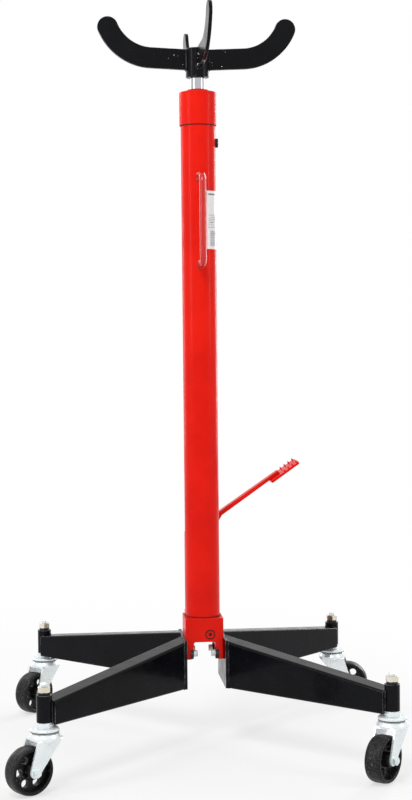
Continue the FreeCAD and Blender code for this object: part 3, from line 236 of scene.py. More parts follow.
pale_edge_and_highlight = (0.95, 0.10, 0.06)
pink_dust = (0.92, 0.22, 0.16)
red_paint = enamel(
    "red_enamel", main=(0.85, 0.011, 0.003), deep=(0.73, 0.007, 0.002), edge=pale_edge_and_highlight,
    dust=pink_dust, base_roughness=0.28, gloss=0.08, coat=0.06)
# The handle's red is the column's paint made darker, as painted shade on the thin bar; its heavy coat
# is real gloss.
shaded_handle_paint = enamel(
    "red_enamel_thick_shaded", main=(0.62, 0.006, 0.003), deep=(0.50, 0.004, 0.002), edge=pale_edge_and_highlight,
    dust=pink_dust, base_roughness=0.20, gloss=0.12, coat=0.80)
# Black's grey edge colour is mostly a painted highlight along its edges, with a little wear.
black_paint = enamel(
    "black_enamel", main=(0.0042, 0.0045, 0.0062), deep=(0.0022, 0.0023, 0.0030),
    edge=(0.50, 0.50, 0.51), dust=(0.30, 0.30, 0.30), base_roughness=0.16, gloss=0.08, coat=0.05)
print("enamels:", red_paint.name, shaded_handle_paint.name, black_paint.name)

# %% [markdown]
# Plated and bare metals share one recipe as well. Zinc plating is a bright bluish white
# with soft clouds, yellow passivation warms it, black oxide is dark and slightly oily, and
# hard chrome is nearly a mirror. What tells them apart is the colour, the roughness and
# the fine marks. A plated sheet is marked evenly all over. A turned or ground piece has
# fine rings around its axis, so there the noise is squeezed along Z.

# %% Metals
def metal(name, main, second, rough, marks, mark_depth, stains=0.3, metallic=1.0):
    """marks is how many lumps a metre the fine marks have along X, Y and Z."""
    material, tree, shader = new_finish(name)
    where = place_on(tree)
    clouds = ramp(tree, grain(tree, where, 30.0, 1.0, 0.4), 0.30, 0.72)
    colour = blend(tree, sums(tree, "MULTIPLY", clouds, 0.8), main, second)
    blots = ramp(tree, grain(tree, where, 190.0, 3.0), 0.66, 0.78, 0.0, stains)
    dark = tuple(c * 0.45 for c in main)
    colour = blend(tree, blots, colour, dark)
    tree.links.new(colour, shader.inputs["Base Color"])
    streaks = grain(tree, place_on(tree, stretch=marks), 1.0, 2.0, 0.5)
    spread = ramp(tree, streaks, 0.3, 0.7, rough * 0.75, rough * 1.35)
    uneven = sums(tree, "ADD", spread, sums(tree, "MULTIPLY", blots, 0.25))
    tree.links.new(uneven, shader.inputs["Roughness"])
    shader.inputs["Metallic"].default_value = metallic
    relief(tree, shader, streaks, mark_depth, 0.5)
    return material


even_marks = (110.0, 110.0, 110.0)
ring_marks = (60.0, 60.0, 2600.0)
zinc = metal("zinc_plate", (0.90, 0.95, 0.955), (0.83, 0.89, 0.905), rough=0.26,
             marks=even_marks, mark_depth=0.00002, stains=0.04, metallic=0.35)
yellow_zinc = metal("passivated_zinc", (0.80, 0.76, 0.66), (0.66, 0.60, 0.47), rough=0.24,
                    marks=even_marks, mark_depth=0.00006)
oxide = metal("black_oxide", (0.045, 0.045, 0.048), (0.022, 0.022, 0.024), rough=0.36,
              marks=even_marks, mark_depth=0.00008)
chrome = metal("hard_chrome", (0.50, 0.51, 0.53), (0.44, 0.45, 0.47), rough=0.06,
               marks=ring_marks, mark_depth=0.00001, stains=0.05)
steel = metal("ground_steel", (0.52, 0.52, 0.53), (0.42, 0.42, 0.43), rough=0.22,
              marks=ring_marks, mark_depth=0.00003)
bronze = metal("bronze", (0.60, 0.37, 0.16), (0.48, 0.27, 0.11), rough=0.30,
               marks=ring_marks, mark_depth=0.00004)
spring_wire = metal("spring_steel", (0.20, 0.19, 0.18), (0.12, 0.11, 0.11), rough=0.34,
                    marks=even_marks, mark_depth=0.00006)
print("metals:", [m.name for m in (zinc, yellow_zinc, oxide, chrome, steel, bronze, spring_wire)])

# %% [markdown]
# Black plastic, seal rubber and the wheels' resin all come out of a mould: matt, faintly
# uneven, and dusty in patches, because dust clings to them. The dust is a threshold on a
# fine noise, kept to patches by a coarser one, and it also makes the surface rougher.

# %% Moulded plastic and rubber
def dusty_resin(tree, shader, where, main, dust_colour, roughness, dust_low):
    """Colour of a moulded piece under its dust; it sets the roughness on the way."""
    specks = ramp(tree, grain(tree, where, 430.0, 3.0, 0.7), dust_low, dust_low + 0.10)
    patches = ramp(tree, grain(tree, where, 60.0, 4.0), 0.42, 0.70, 0.15, 1.0)
    dust = sums(tree, "MULTIPLY", specks, patches)
    matt = ramp(tree, grain(tree, where, 120.0, 4.0), 0.3, 0.7, roughness, roughness + 0.18)
    rough = sums(tree, "ADD", matt, sums(tree, "MULTIPLY", dust, 0.3))
    tree.links.new(rough, shader.inputs["Roughness"])
    shader.inputs["Specular IOR Level"].default_value = 0.20
    return blend(tree, dust, main, dust_colour)


def moulded(name, main, dust_colour, roughness, dust_low):
    material, tree, shader = new_finish(name)
    where = place_on(tree)
    colour = dusty_resin(tree, shader, where, main, dust_colour, roughness, dust_low)
    tree.links.new(colour, shader.inputs["Base Color"])
    relief(tree, shader, grain(tree, where, 900.0, 3.0), 0.00010, 0.6)
    return material


black_plastic = moulded("black_plastic", (0.012, 0.012, 0.013), (0.06, 0.06, 0.06), 0.38, 0.68)
rubber = moulded("seal_rubber", (0.014, 0.013, 0.013), (0.05, 0.05, 0.048), 0.55, 0.66)
print("moulded:", black_plastic.name, rubber.name)

# %% [markdown]
# The wheels are moulded in one piece from hard black resin. The floor scuffs a paler band
# where the tread runs, and the mould leaves fine rings around the axle. Each wheel has
# its own axle, so the material is made once per wheel, and a Mapping node moves its rings
# to that wheel's centre. Distance from the axle is the length of the position with its
# part along the axle taken away.

# %% Wheel resin
tread_r = 0.038
resin_black = (0.0050, 0.0050, 0.0055)
floor_dust = (0.55, 0.54, 0.51)
scuff_grey = (0.060, 0.058, 0.055)
ring_phase = 9000.0  # radians a metre, which makes a ring each 0.7 mm


def wheel_resin(corner, centre, axle):
    material, tree, shader = new_finish("wheel_resin_" + corner)
    colour = dusty_resin(tree, shader, place_on(tree), resin_black, floor_dust, 0.34, 0.62)
    where = place_on(tree, centre)
    along = measured(tree, "DOT_PRODUCT", where, axle)
    reach = measured(tree, "LENGTH", where)
    square = sums(tree, "POWER", reach, 2.0)
    beside = sums(tree, "POWER", along, 2.0)
    from_axle = sums(tree, "SQRT", sums(tree, "MAXIMUM", sums(tree, "SUBTRACT", square, beside), 0.0))
    tread = ramp(tree, from_axle, tread_r - 0.0018, tread_r - 0.0006)
    scuffs = ramp(tree, grain(tree, where, 240.0, 4.0, 0.65), 0.40, 0.68)
    band = sums(tree, "MULTIPLY", sums(tree, "MULTIPLY", tread, scuffs), 0.55)
    tree.links.new(blend(tree, band, colour, scuff_grey), shader.inputs["Base Color"])
    rings = sums(tree, "SINE", sums(tree, "MULTIPLY", from_axle, ring_phase))
    pores = grain(tree, where, 700.0, 3.0)
    relief(tree, shader, sums(tree, "ADD", pores, sums(tree, "MULTIPLY", rings, 0.12)), 0.00012, 0.6)
    return material


legs = {"front_left": (-1, -1), "front_right": (1, -1), "rear_left": (-1, 1), "rear_right": (1, 1)}
stem_half = 0.2775
wheel_finish = {}
for corner, (sx, sy) in legs.items():
    low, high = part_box("wheel_" + corner)
    centre = (low + high) / 2
    trail = Vector((centre.x - sx * stem_half, centre.y - sy * stem_half, 0)).normalized()
    wheel_finish[corner] = wheel_resin(corner, centre, (-trail.y, trail.x, 0))
print("wheels:", sorted(wheel_finish))

# %% [markdown]
# The label is a white film wrapped a third of the way round the column. A real one has
# maker's text; this one only has the look of print: a heading bar, a few rows of broken
# grey dashes and a block of bars. They are drawn by arithmetic on two numbers: how far
# round the column a point lies, from its angle, and how high it is on the label.

# %% Label helpers
def share(tree, value, low, high):
    """Value as a share of the way from low to high."""
    return sums(tree, "DIVIDE", sums(tree, "SUBTRACT", value, low), high - low)


def between(tree, value, low, high):
    """One where value lies from low to high, else zero."""
    above = sums(tree, "GREATER_THAN", value, low)
    below = sums(tree, "LESS_THAN", value, high)
    return sums(tree, "MULTIPLY", above, below)


print("label helpers ready")

# %% [markdown]
# With `between`, a box of ink takes two calls: one for its height, one for its width. The
# rows repeat, so the height is multiplied by their count and only its fraction is kept,
# while the whole part of it picks a different noise for each row's dashes.

# %% Label film
label_low, label_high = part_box("product_label")
label_start = math.radians(-68)
label_end = math.radians(42)
row_count = 34.0
white_film = (0.92, 0.92, 0.92)
grey_film = (0.85, 0.85, 0.84)
grey_ink = (0.10, 0.10, 0.11)


def label_film():
    material, tree, shader = new_finish("label_film")
    where = place_on(tree)
    axes = add(tree, "SeparateXYZ", {"Vector": where})
    angle = sums(tree, "ARCTAN2", axes.outputs["Y"], axes.outputs["X"])
    across = share(tree, angle, label_start, label_end)
    up = share(tree, axes.outputs["Z"], label_low.z, label_high.z)
    margin = between(tree, across, 0.05, 0.95)
    heading = sums(tree, "MULTIPLY", between(tree, up, 0.925, 0.955), between(tree, across, 0.06, 0.80))
    mark = sums(tree, "MULTIPLY", between(tree, up, 0.82, 0.86), between(tree, across, 0.38, 0.50))
    counted = sums(tree, "MULTIPLY", up, row_count)
    row = sums(tree, "FRACT", counted)
    row_number = sums(tree, "FLOOR", counted)
    cells = add(tree, "CombineXYZ", {"X": sums(tree, "MULTIPLY", across, 60.0), "Y": row_number})
    dashes = sums(tree, "GREATER_THAN", grain(tree, cells.outputs["Vector"], 1.7, 0.0), 0.47)
    rows = sums(tree, "MULTIPLY", between(tree, row, 0.25, 0.72), dashes)
    rows = sums(tree, "MULTIPLY", rows, between(tree, up, 0.36, 0.60))
    rows = sums(tree, "MULTIPLY", rows, margin)
    bar_line = add(tree, "CombineXYZ", {"X": sums(tree, "MULTIPLY", up, 90.0)})
    bars = sums(tree, "GREATER_THAN", grain(tree, bar_line.outputs["Vector"], 1.3, 0.0), 0.50)
    wide = sums(tree, "MULTIPLY", between(tree, across, 0.12, 0.58), between(tree, up, 0.05, 0.32))
    narrow = sums(tree, "MULTIPLY", between(tree, across, 0.60, 0.78), between(tree, up, 0.08, 0.30))
    under_bars = sums(tree, "MULTIPLY", wide, 0.35)
    barred = sums(tree, "MAXIMUM", sums(tree, "MULTIPLY", wide, 0.75), narrow)
    block = sums(tree, "MAXIMUM", under_bars, sums(tree, "MULTIPLY", bars, barred))
    upper = sums(tree, "MAXIMUM", heading, mark)
    lower = sums(tree, "MAXIMUM", rows, block)
    ink = sums(tree, "MULTIPLY", sums(tree, "MAXIMUM", upper, lower), 0.85)
    paper = blend(tree, ramp(tree, grain(tree, where, 70.0), 0.35, 0.7), white_film, grey_film)
    tree.links.new(blend(tree, ink, paper, grey_ink), shader.inputs["Base Color"])
    gloss = ramp(tree, grain(tree, where, 140.0), 0.3, 0.7, 0.28, 0.42)
    tree.links.new(gloss, shader.inputs["Roughness"])
    relief(tree, shader, grain(tree, where, 90.0, 2.0), 0.00012, 0.5)
    return material


label_paper = label_film()
print("label:", round(label_high.z - label_low.z, 3), "m high")

# %% [markdown]
# The frame's record says which finish each of its pieces has. A piece whose shape is
# already right only takes its new material, and its mesh stays as it came.

# %% Dress the frame
finishes = {
    "red_enamel": red_paint, "black_enamel": black_paint, "black_plastic": black_plastic,
    "zinc_plate": zinc, "passivated_zinc": yellow_zinc, "black_oxide": oxide,
    "hard_chrome": chrome, "ground_steel": steel, "bronze": bronze,
    "seal_rubber": rubber, "spring_steel": spring_wire, "label_film": label_paper,
}
for part in frame["record"]["subparts"]:
    node = frame["nodes"][part["node"]]
    finish = finishes.get(part["material_slot"])
    if part["material_slot"] == "wheel_resin":
        finish = wheel_finish[part["node"].removeprefix("wheel_")]
    # The handle takes the darker red, painted shade, in place of the record's red enamel.
    if part["node"] == "carry_handle":
        finish = shaded_handle_paint
    for material_slot in node.material_slots:
        material_slot.material = finish

# %% [markdown]
# The added pieces are built with bmesh. `finish_piece` ends each one: it merges doubles,
# points the faces outwards, makes a mesh object at the origin, hangs it on a body of the
# frame and gives it its material. `stamp` copies a small mesh to a place, for what repeats.

# %% Mesh helpers
def finish_piece(name, shape, material, body, sharp=35.0):
    bmesh.ops.remove_doubles(shape, verts=shape.verts, dist=1e-6)
    bmesh.ops.recalc_face_normals(shape, faces=shape.faces)
    mesh = bpy.data.meshes.new(name)
    shape.to_mesh(mesh)
    shape.free()
    mesh.shade_smooth()
    mesh.set_sharp_from_angle(angle=math.radians(sharp))
    mesh.materials.append(material)
    piece = bpy.data.objects.new(name, mesh)
    bpy.context.scene.collection.objects.link(piece)
    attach(piece, body)
    print("%-22s %6d faces on %s" % (name, len(mesh.polygons), body))
    return piece


def stamp(shape, small, place):
    """Adds a copy of the small bmesh to shape, moved by place."""
    first = len(shape.verts)
    mesh = bpy.data.meshes.new("stamp")
    small.to_mesh(mesh)
    shape.from_mesh(mesh)
    bpy.data.meshes.remove(mesh)
    shape.verts.ensure_lookup_table()
    bmesh.ops.transform(shape, matrix=place, verts=shape.verts[first:])


def facing(spot, direction):
    """A place at spot whose Z runs along direction."""
    return Matrix.Translation(spot) @ Vector(direction).to_track_quat("Z", "Y").to_matrix().to_4x4()


print("mesh helpers ready")

# %% [markdown]
# Weld beads hold a jack together, and they show wherever a plate meets a tube. A bead is
# a thin round rope with ripples, one for each time the welder's hand paused. `sweep` sets
# circles square to a path and bridges each to the next; the ripple is a change of their
# radius. The path is a few corner points, cut into short even steps by `walk`.

# %% Sweep and bead helpers
def edges_of(ring):
    """The edges of a circle that a create operator has just made, each one once."""
    return list(dict.fromkeys(edge for vert in ring["verts"] for edge in vert.link_edges))


def walk(corners, step, closed=False):
    """Even steps along straight runs between corners."""
    spots = []
    ends = corners[1:] + corners[:1] if closed else corners[1:]
    for start, end in zip(corners, ends):
        count = max(1, round((end - start).length / step))
        spots += [start.lerp(end, k / count) for k in range(count)]
    return spots if closed else spots + [corners[-1]]


def sweep(shape, path, radii, sides=8, closed=False):
    rings = []
    last = len(path) - 1
    for k, spot in enumerate(path):
        ahead = path[(k + 1) % len(path)] if closed or k < last else spot
        behind = path[k - 1] if closed or k > 0 else spot
        cap = not closed and k in (0, last)
        ring = bmesh.ops.create_circle(shape, cap_ends=cap, segments=sides, radius=radii[k],
                                       matrix=facing(spot, ahead - behind))
        rings.append(edges_of(ring))
    pairs = list(zip(rings, rings[1:]))
    if closed:
        pairs.append((rings[-1], rings[0]))
    for one, other in pairs:
        bmesh.ops.bridge_loops(shape, edges=one + other)


def bead(shape, corners, radius, closed=False):
    """A rippled weld bead along the corners."""
    step = radius * 0.42
    path = walk(corners, step, closed)
    radii = []
    for k in range(len(path)):
        ripple = abs(math.sin(math.pi * k / 4))
        radii.append(radius * (0.80 + 0.16 * ripple + dice.uniform(-0.05, 0.05)))
    if not closed:
        radii[0] = radius * 0.5
        radii[-1] = radius * 0.5
    sweep(shape, path, radii, closed=closed)


dice = random.Random(7)
print("sweep and bead helpers ready")

# %% [markdown]
# The saddle is four flat arms welded round a turned hub. Each arm has a bead down both
# sides of its root and a thinner one beneath, and the black paint over them looks lumpy.

# %% Saddle welds
hub_low, hub_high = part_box("saddle_hub")
hub_r = (hub_high.x - hub_low.x) / 2
saddle_turn = math.radians(2.2)
arm_half = 0.003
arm_depth = 0.0355
top_drop = 0.0015
arm_top = hub_high.z - top_drop
arm_foot = arm_top - arm_depth
arm_bead_r = 0.0021
bead_lift = 0.0008

shape = bmesh.new()
for k in range(4):
    turn = Matrix.Rotation(saddle_turn + k * math.pi / 2, 3, "Z")
    for side in (-1, 1):
        root = Vector((hub_r - 0.0006, side * (arm_half + bead_lift), 0))
        foot = turn @ (root + Vector((0, 0, arm_foot + 0.001)))
        head = turn @ (root + Vector((0, 0, arm_top - 0.0025)))
        bead(shape, [foot, head], arm_bead_r)
    under = [turn @ Vector((hub_r + 0.0004, y, arm_foot - 0.0002)) for y in (-arm_half, arm_half)]
    bead(shape, under, arm_bead_r * 0.8)
finish_piece("saddle_welds", shape, black_paint, "saddle")

# %% [markdown]
# Spatter, the fine drops that fly from an arc, stays stuck to the plates near the welds.
# Squaring a random number crowds the drops towards the hub, where the arc burned.

# %% Saddle spatter
drops_each = 9
smallest_drop = 0.0006
largest_drop = 0.0013
spatter_width = 0.028
shape = bmesh.new()
for k in range(4):
    turn = Matrix.Rotation(saddle_turn + k * math.pi / 2, 4, "Z")
    for drop in range(drops_each):
        side = dice.choice((-1, 1))
        reach = hub_r + 0.004 + spatter_width * dice.random() ** 2
        spot = Vector((reach, side * arm_half, dice.uniform(arm_foot + 0.004, arm_top - 0.003)))
        size = dice.uniform(smallest_drop, largest_drop)
        bmesh.ops.create_icosphere(shape, subdivisions=1, radius=size,
                                   matrix=turn @ Matrix.Translation(spot))
finish_piece("saddle_spatter", shape, steel, "saddle", 80.0)

# %% [markdown]
# Each leg ends against a short upright tube that carries its caster, with a bead down
# each side where tube and leg meet and one over the top. At its other end the leg is cut
# at an angle and welded flat to a plate, down both edges and along the bottom. The leg is
# 35 mm wide and runs out at 45 degrees, so its cut end is as wide as that times the
# square root of two.

# %% Leg welds
stem_reach = stem_half * math.sqrt(2)
tube_r = 0.0125
leg_half = 0.0175
leg_root_height = 0.080
leg_end_height = 0.0338
leg_end_rise = 0.006
edge_inset = 0.0012
side_bead_r = 0.0018
top_bead_r = 0.0015
root_bead_r = 0.0021
plate_low, plate_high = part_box("leg_plate_right")
leg_low = plate_low.z
plate_x = plate_high.x + 0.0004
near_y = plate_high.x - leg_half * math.sqrt(2)
far_y = plate_high.x + leg_half * math.sqrt(2) - 0.001
tube_foot = leg_low + leg_end_rise
end_x = stem_reach - tube_r / 2
chord = math.sqrt(tube_r ** 2 - (tube_r / 2) ** 2)

shape = bmesh.new()
for sx, sy in legs.values():
    turn = Matrix.Rotation(math.atan2(sy, sx), 3, "Z")
    for side in (-1, 1):
        spot = Vector((end_x + 0.0003, side * (chord + bead_lift), 0))
        foot = turn @ (spot + Vector((0, 0, tube_foot)))
        head = turn @ (spot + Vector((0, 0, tube_foot + leg_end_height - 0.002)))
        bead(shape, [foot, head], side_bead_r)
    top = [turn @ Vector((end_x - 0.0006, y, tube_foot + leg_end_height)) for y in (-chord, chord)]
    bead(shape, top, top_bead_r)
    corners = [Vector((sx * plate_x, sy * near_y, leg_low + leg_root_height)),
               Vector((sx * plate_x, sy * near_y, leg_low + edge_inset)),
               Vector((sx * plate_x, sy * far_y, leg_low + edge_inset)),
               Vector((sx * plate_x, sy * far_y, leg_low + leg_root_height - 0.001))]
    bead(shape, corners, root_bead_r)
finish_piece("leg_welds", shape, black_paint, "frame")

# %% [markdown]
# The carry handle is a bent bar with its two ends welded to the column. The bead follows
# the round tube, so each of its points is pushed out to the column's surface. A narrow
# bead also runs round the foot of the column.

# %% Column and handle welds
column_low, column_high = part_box("column_tube")
column_r = (column_high.x - column_low.x) / 2
handle_low, handle_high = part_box("carry_handle")
bar_r = (handle_high.x - handle_low.x) / 2


def round_steps(count, radius):
    """Even points on a circle, as pairs."""
    angles = [2 * math.pi * k / count for k in range(count)]
    return [(radius * math.cos(angle), radius * math.sin(angle)) for angle in angles]


handle_bead_r = 0.0021
foot_bead_r = 0.0013
on_column = column_r + 0.0005
shape = bmesh.new()
for middle in (handle_low.z + bar_r, handle_high.z - bar_r):
    loop = [Vector((x, -math.sqrt(on_column ** 2 - x ** 2), middle + z))
            for x, z in round_steps(24, bar_r + 0.0006)]
    bead(shape, loop, handle_bead_r, closed=True)
finish_piece("handle_welds", shape, shaded_handle_paint, "frame")

shape = bmesh.new()
loop = [Vector((x, y, column_low.z + 0.0004)) for x, y in round_steps(90, on_column)]
bead(shape, loop, foot_bead_r, closed=True)
finish_piece("column_weld", shape, red_paint, "frame")

# %% [markdown]
# Dark packing rings show at the column's foot and under its collar. A ring is a round
# cord closed on itself: spin turns one small circle about the ring's axis, and use_merge
# joins the last step to the first. Most rings lie level, so those have a shorter call.

# %% Packing rings
def packing_ring(start, along, centre, axis, thickness, steps):
    """A small circle at start, facing along, spun about an axis through centre."""
    shape = bmesh.new()
    section = bmesh.ops.create_circle(shape, cap_ends=False, segments=10, radius=thickness,
                                      matrix=facing(start, along))
    bmesh.ops.spin(shape, geom=section["verts"] + edges_of(section), cent=centre, axis=axis,
                   dvec=(0, 0, 0), angle=2 * math.pi, steps=steps, use_merge=True, use_duplicate=False)
    return shape


def level_ring(radius, height, thickness, steps=96):
    return packing_ring((radius, 0, height), (0, 1, 0), (0, 0, 0), (0, 0, 1), thickness, steps)


shape = level_ring(column_r + 0.0014, column_low.z + 0.0014, 0.0007)
finish_piece("column_foot_ring", shape, rubber, "frame", 80.0)
shape = level_ring(column_r + 0.0006, column_high.z - 0.0005, 0.0008)
finish_piece("collar_ring", shape, rubber, "frame", 80.0)

# %% [markdown]
# A threaded end is the clearest sign of a real bolt. A thread this fine reads as a row of
# sharp rings, so its outline zigzags between crest and root, and spinning the outline
# round the bolt's axis makes the whole stud, closed at both ends on the axis. A hexagon
# is a six-sided disc, pulled up with extrude and softened with bevel.

# %% Turned and hexagon helpers
thread_pitch = 0.00175
thread_depth = 0.0009


def threaded(radius, low, high):
    """Outline points of a thread from low to high, with its end chamfered."""
    points = []
    count = int((high - low) / thread_pitch)
    for k in range(count):
        z = low + k * thread_pitch
        points += [(radius, z), (radius, z + thread_pitch * 0.15),
                   (radius - thread_depth, z + thread_pitch * 0.5), (radius, z + thread_pitch * 0.85)]
    top = low + count * thread_pitch
    return points + [(radius - 0.0002, top), (radius - 0.0012, high), (0, high)]


def turned(outline, steps=28):
    """A closed solid spun about Z from (radius, height) points that start and end on the axis."""
    shape = bmesh.new()
    spots = [shape.verts.new((r, 0, z)) for r, z in outline]
    rim = [shape.edges.new(pair) for pair in zip(spots, spots[1:])]
    bmesh.ops.spin(shape, geom=spots + rim, cent=(0, 0, 0), axis=(0, 0, 1), dvec=(0, 0, 0),
                   angle=2 * math.pi, steps=steps, use_merge=True, use_duplicate=False)
    bmesh.ops.remove_doubles(shape, verts=shape.verts, dist=1e-7)
    return shape


def hexagon(across_flats, low, high, edge):
    shape = bmesh.new()
    corner_r = across_flats / math.sqrt(3)
    place = Matrix.Translation((0, 0, low)) @ Matrix.Rotation(math.pi / 6, 4, "Z")
    bmesh.ops.create_circle(shape, cap_ends=True, segments=6, radius=corner_r, matrix=place)
    raised = bmesh.ops.extrude_face_region(shape, geom=list(shape.faces))
    top = [item for item in raised["geom"] if isinstance(item, bmesh.types.BMVert)]
    bmesh.ops.translate(shape, verts=top, vec=(0, 0, high - low))
    bmesh.ops.recalc_face_normals(shape, faces=shape.faces)
    bmesh.ops.bevel(shape, geom=list(shape.edges), offset=edge, affect="EDGES", segments=2,
                    profile=0.5, material=-1)
    return shape


print("thread pitch", thread_pitch * 1000, "mm")

# %% [markdown]
# Each caster hangs on a stem: a threaded stud with a round head below and a hexagon
# collar above the race.

# %% Caster stems
pin_low, pin_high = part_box("caster_kingpins")
nut_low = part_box("stem_nuts")[0]
race_low, race_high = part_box("caster_races")
stem_r = 0.006
head_r = 0.010
head_height = 0.004
head_edge = 0.0006
collar_flats = 0.024
collar_height = 0.009

outline = [(0, pin_low.z), (head_r - head_edge, pin_low.z), (head_r, pin_low.z + head_edge),
           (head_r, pin_low.z + head_height), (stem_r, pin_low.z + head_height)]
outline += threaded(stem_r, nut_low.z - 0.004, pin_high.z)
stem = turned(outline)
collar = hexagon(collar_flats, race_high.z, race_high.z + collar_height, 0.0011)
shape = bmesh.new()
for sx, sy in legs.values():
    place = Matrix.Translation((sx * stem_half, sy * stem_half, 0))
    stamp(shape, stem, place)
    stamp(shape, collar, place)
stem.free()
collar.free()
stems = finish_piece("threaded_stems", shape, zinc, "frame")
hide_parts("caster_kingpins")

# %% [markdown]
# The legs bolt to the cast block with four studs whose threaded ends show in its arch.
# They lie along X, so the same turned stud is laid over before it is stamped.

# %% Leg studs
stud_low, stud_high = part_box("leg_studs")
leg_nut_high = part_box("leg_nuts")[1]
stud_gap = 0.012
stud_length = stud_high.x - stud_gap
thread_start = stud_high.x - (leg_nut_high.x + 0.002)
shank = [(0, 0), (stem_r, 0), (stem_r, thread_start - 0.0004)]
stud = turned(shank + threaded(stem_r, thread_start, stud_length))
shape = bmesh.new()
stud_y = stud_high.y - stem_r
stud_z = (stud_low.z + stud_high.z) / 2
for sx in (-1, 1):
    for sy in (-1, 1):
        stamp(shape, stud, facing((sx * stud_high.x, sy * stud_y, stud_z), (-sx, 0, 0)))
stud.free()
studs = finish_piece("threaded_studs", shape, zinc, "frame")
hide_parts("leg_studs")

# %% [markdown]
# Between each caster's fork and its fixed race runs a ring of small steel balls. They
# only peep out of a narrow gap, so a coarse ball made once is enough, stamped in a circle.

# %% Bearing balls
ball_r = 0.00105
ball_circle = 0.0199
ball_z = race_low.z - 0.0002
balls_each = 20
ball = bmesh.new()
bmesh.ops.create_icosphere(ball, subdivisions=2, radius=ball_r)
shape = bmesh.new()
for sx, sy in legs.values():
    for x, y in round_steps(balls_each, ball_circle):
        stamp(shape, ball, Matrix.Translation((sx * stem_half + x, sy * stem_half + y, ball_z)))
ball.free()
finish_piece("bearing_balls", shape, steel, "frame", 80.0)

# %% [markdown]
# A dark rubber ring keeps dust out of that gap, and is also painted shade: it draws the gap's thin dark
# line under the race.

# %% Dust rings and painted gap shade
race_r = race_high.x - stem_half
ring = level_ring(race_r - 0.0008, race_low.z + 0.0001, 0.0009, 48)
shape = bmesh.new()
for sx, sy in legs.values():
    stamp(shape, ring, Matrix.Translation((sx * stem_half, sy * stem_half, 0)))
ring.free()
finish_piece("dust_and_shade_rings", shape, rubber, "frame", 80.0)

# %% [markdown]
# The foot pump's return spring is a coil that the frame only shows as a plain sleeve. Its
# centre line is a helix: the same sweep as the welds, with round turns in the middle and
# a flat closed turn at each end, as a ground spring has.

# %% Return spring
spring_low, spring_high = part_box("return_spring")
spring_centre = (spring_low + spring_high) / 2
wire_r = 0.0014
coil_r = (spring_high.x - spring_low.x) / 2 - wire_r
coil_turns = 7
per_turn = 30
steps = coil_turns * per_turn
end_turn = 1 / coil_turns
path = []
for k in range(steps + 1):
    done = k / steps
    free = min(max((done - end_turn) / (1 - 2 * end_turn), 0.0), 1.0)
    closed = min(done, end_turn) + max(done - 1 + end_turn, 0.0)
    rise = 2 * wire_r * closed / end_turn + free * (spring_high.z - spring_low.z - 6 * wire_r)
    angle = 2 * math.pi * k / per_turn
    path.append(Vector((spring_centre.x + coil_r * math.cos(angle),
                        spring_centre.y + coil_r * math.sin(angle),
                        spring_low.z + wire_r + rise)))
shape = bmesh.new()
sweep(shape, path, [wire_r] * len(path), sides=10)
coil = finish_piece("coil_spring", shape, spring_wire, "frame", 60.0)
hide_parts("return_spring")
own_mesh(coil)

# %% [markdown]
# Two socket screws hold the pump's valve block to the cast base. A screw head is four
# circles, each bridged to the next: the underside, the rim, the six-sided mouth of the
# socket, and the socket's floor. The first and the last are filled, which closes it.

# %% Valve block screws
valve_low, valve_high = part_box("pump_block")


def socket_screw(radius, height, socket_r):
    shape = bmesh.new()
    loops = []
    for sides, reach, drop in ((30, radius, height), (30, radius, 0.0),
                               (6, socket_r, 0.0), (6, socket_r, height * 0.55)):
        ring = bmesh.ops.create_circle(shape, cap_ends=drop > 0, segments=sides, radius=reach,
                                       matrix=Matrix.Translation((0, 0, -drop)))
        loops.append(edges_of(ring))
    for one, other in zip(loops, loops[1:]):
        bmesh.ops.bridge_loops(shape, edges=one + other)
    bmesh.ops.recalc_face_normals(shape, faces=shape.faces)
    bmesh.ops.bevel(shape, geom=loops[1], offset=0.0006, affect="EDGES", segments=2,
                    profile=0.5, material=-1)
    return shape


screw_r = 0.0047
screw_height = 0.0055
socket_corner_r = 0.0026
screw_inset = 0.009
screw = socket_screw(screw_r, screw_height, socket_corner_r)
shape = bmesh.new()
for z in (valve_low.z + screw_inset, valve_high.z - screw_inset):
    stamp(shape, screw, facing((valve_high.x - 0.008, valve_high.y + 0.005, z), (0, 1, 0)))
screw.free()
finish_piece("valve_block_screws", shape, oxide, "frame")

# %% [markdown]
# A screwed plug closes an oil gallery in the front of the cast base. Its sealing ring is
# black and sits round it in the bore's mouth. In its hexagon socket sits a dark hexagon of
# black oxide, partly bare metal and partly painted shade for the socket's hollow, which
# makes the dark spot. The ring is a small circle spun about the plug's own axis.

# %% Gallery plug trim
plug_low, plug_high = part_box("gallery_plug")
plug_axis = Vector(((plug_low.x + plug_high.x) / 2, 0, (plug_low.z + plug_high.z) / 2))
plug_r = (plug_high.x - plug_low.x) / 2
face_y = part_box("base_housing")[0].y

seal_cord_r = 0.00075
start = plug_axis + Vector((plug_r + 0.0001, face_y + 0.0001, 0))
shape = packing_ring(start, (0, 0, 1), plug_axis, (0, 1, 0), seal_cord_r, 48)
finish_piece("plug_seal", shape, rubber, "frame", 80.0)

# The dark hexagon is painted shade for the socket's hollow, as well as bare oxide.
socket_flats = 0.0058
socket_deep = 0.0010
socket = hexagon(socket_flats, 0.0, socket_deep, 0.0001)
shape = bmesh.new()
stamp(shape, socket, facing(plug_axis + Vector((0, plug_low.y + 0.0028, 0)), (0, 1, 0)))
socket.free()
finish_piece("plug_socket_oxide_and_shade", shape, oxide, "frame")

# %% [markdown]
# The floor is a wide pale disc. It is matt and takes the jack's soft shadow. A glow, seen
# by the camera and by mirror and glass rays only, lifts it to the white of the background
# without adding light to the jack. The glow is weaker near the jack, so that its shadow
# stays visible there.

# %% Floor
def seen_rays(tree):
    """One for rays from the camera and for mirror and glass rays, else zero."""
    rays = add(tree, "LightPath")
    seen = sums(tree, "MAXIMUM", rays.outputs["Is Camera Ray"], rays.outputs["Is Glossy Ray"])
    return sums(tree, "MAXIMUM", seen, rays.outputs["Is Transmission Ray"])


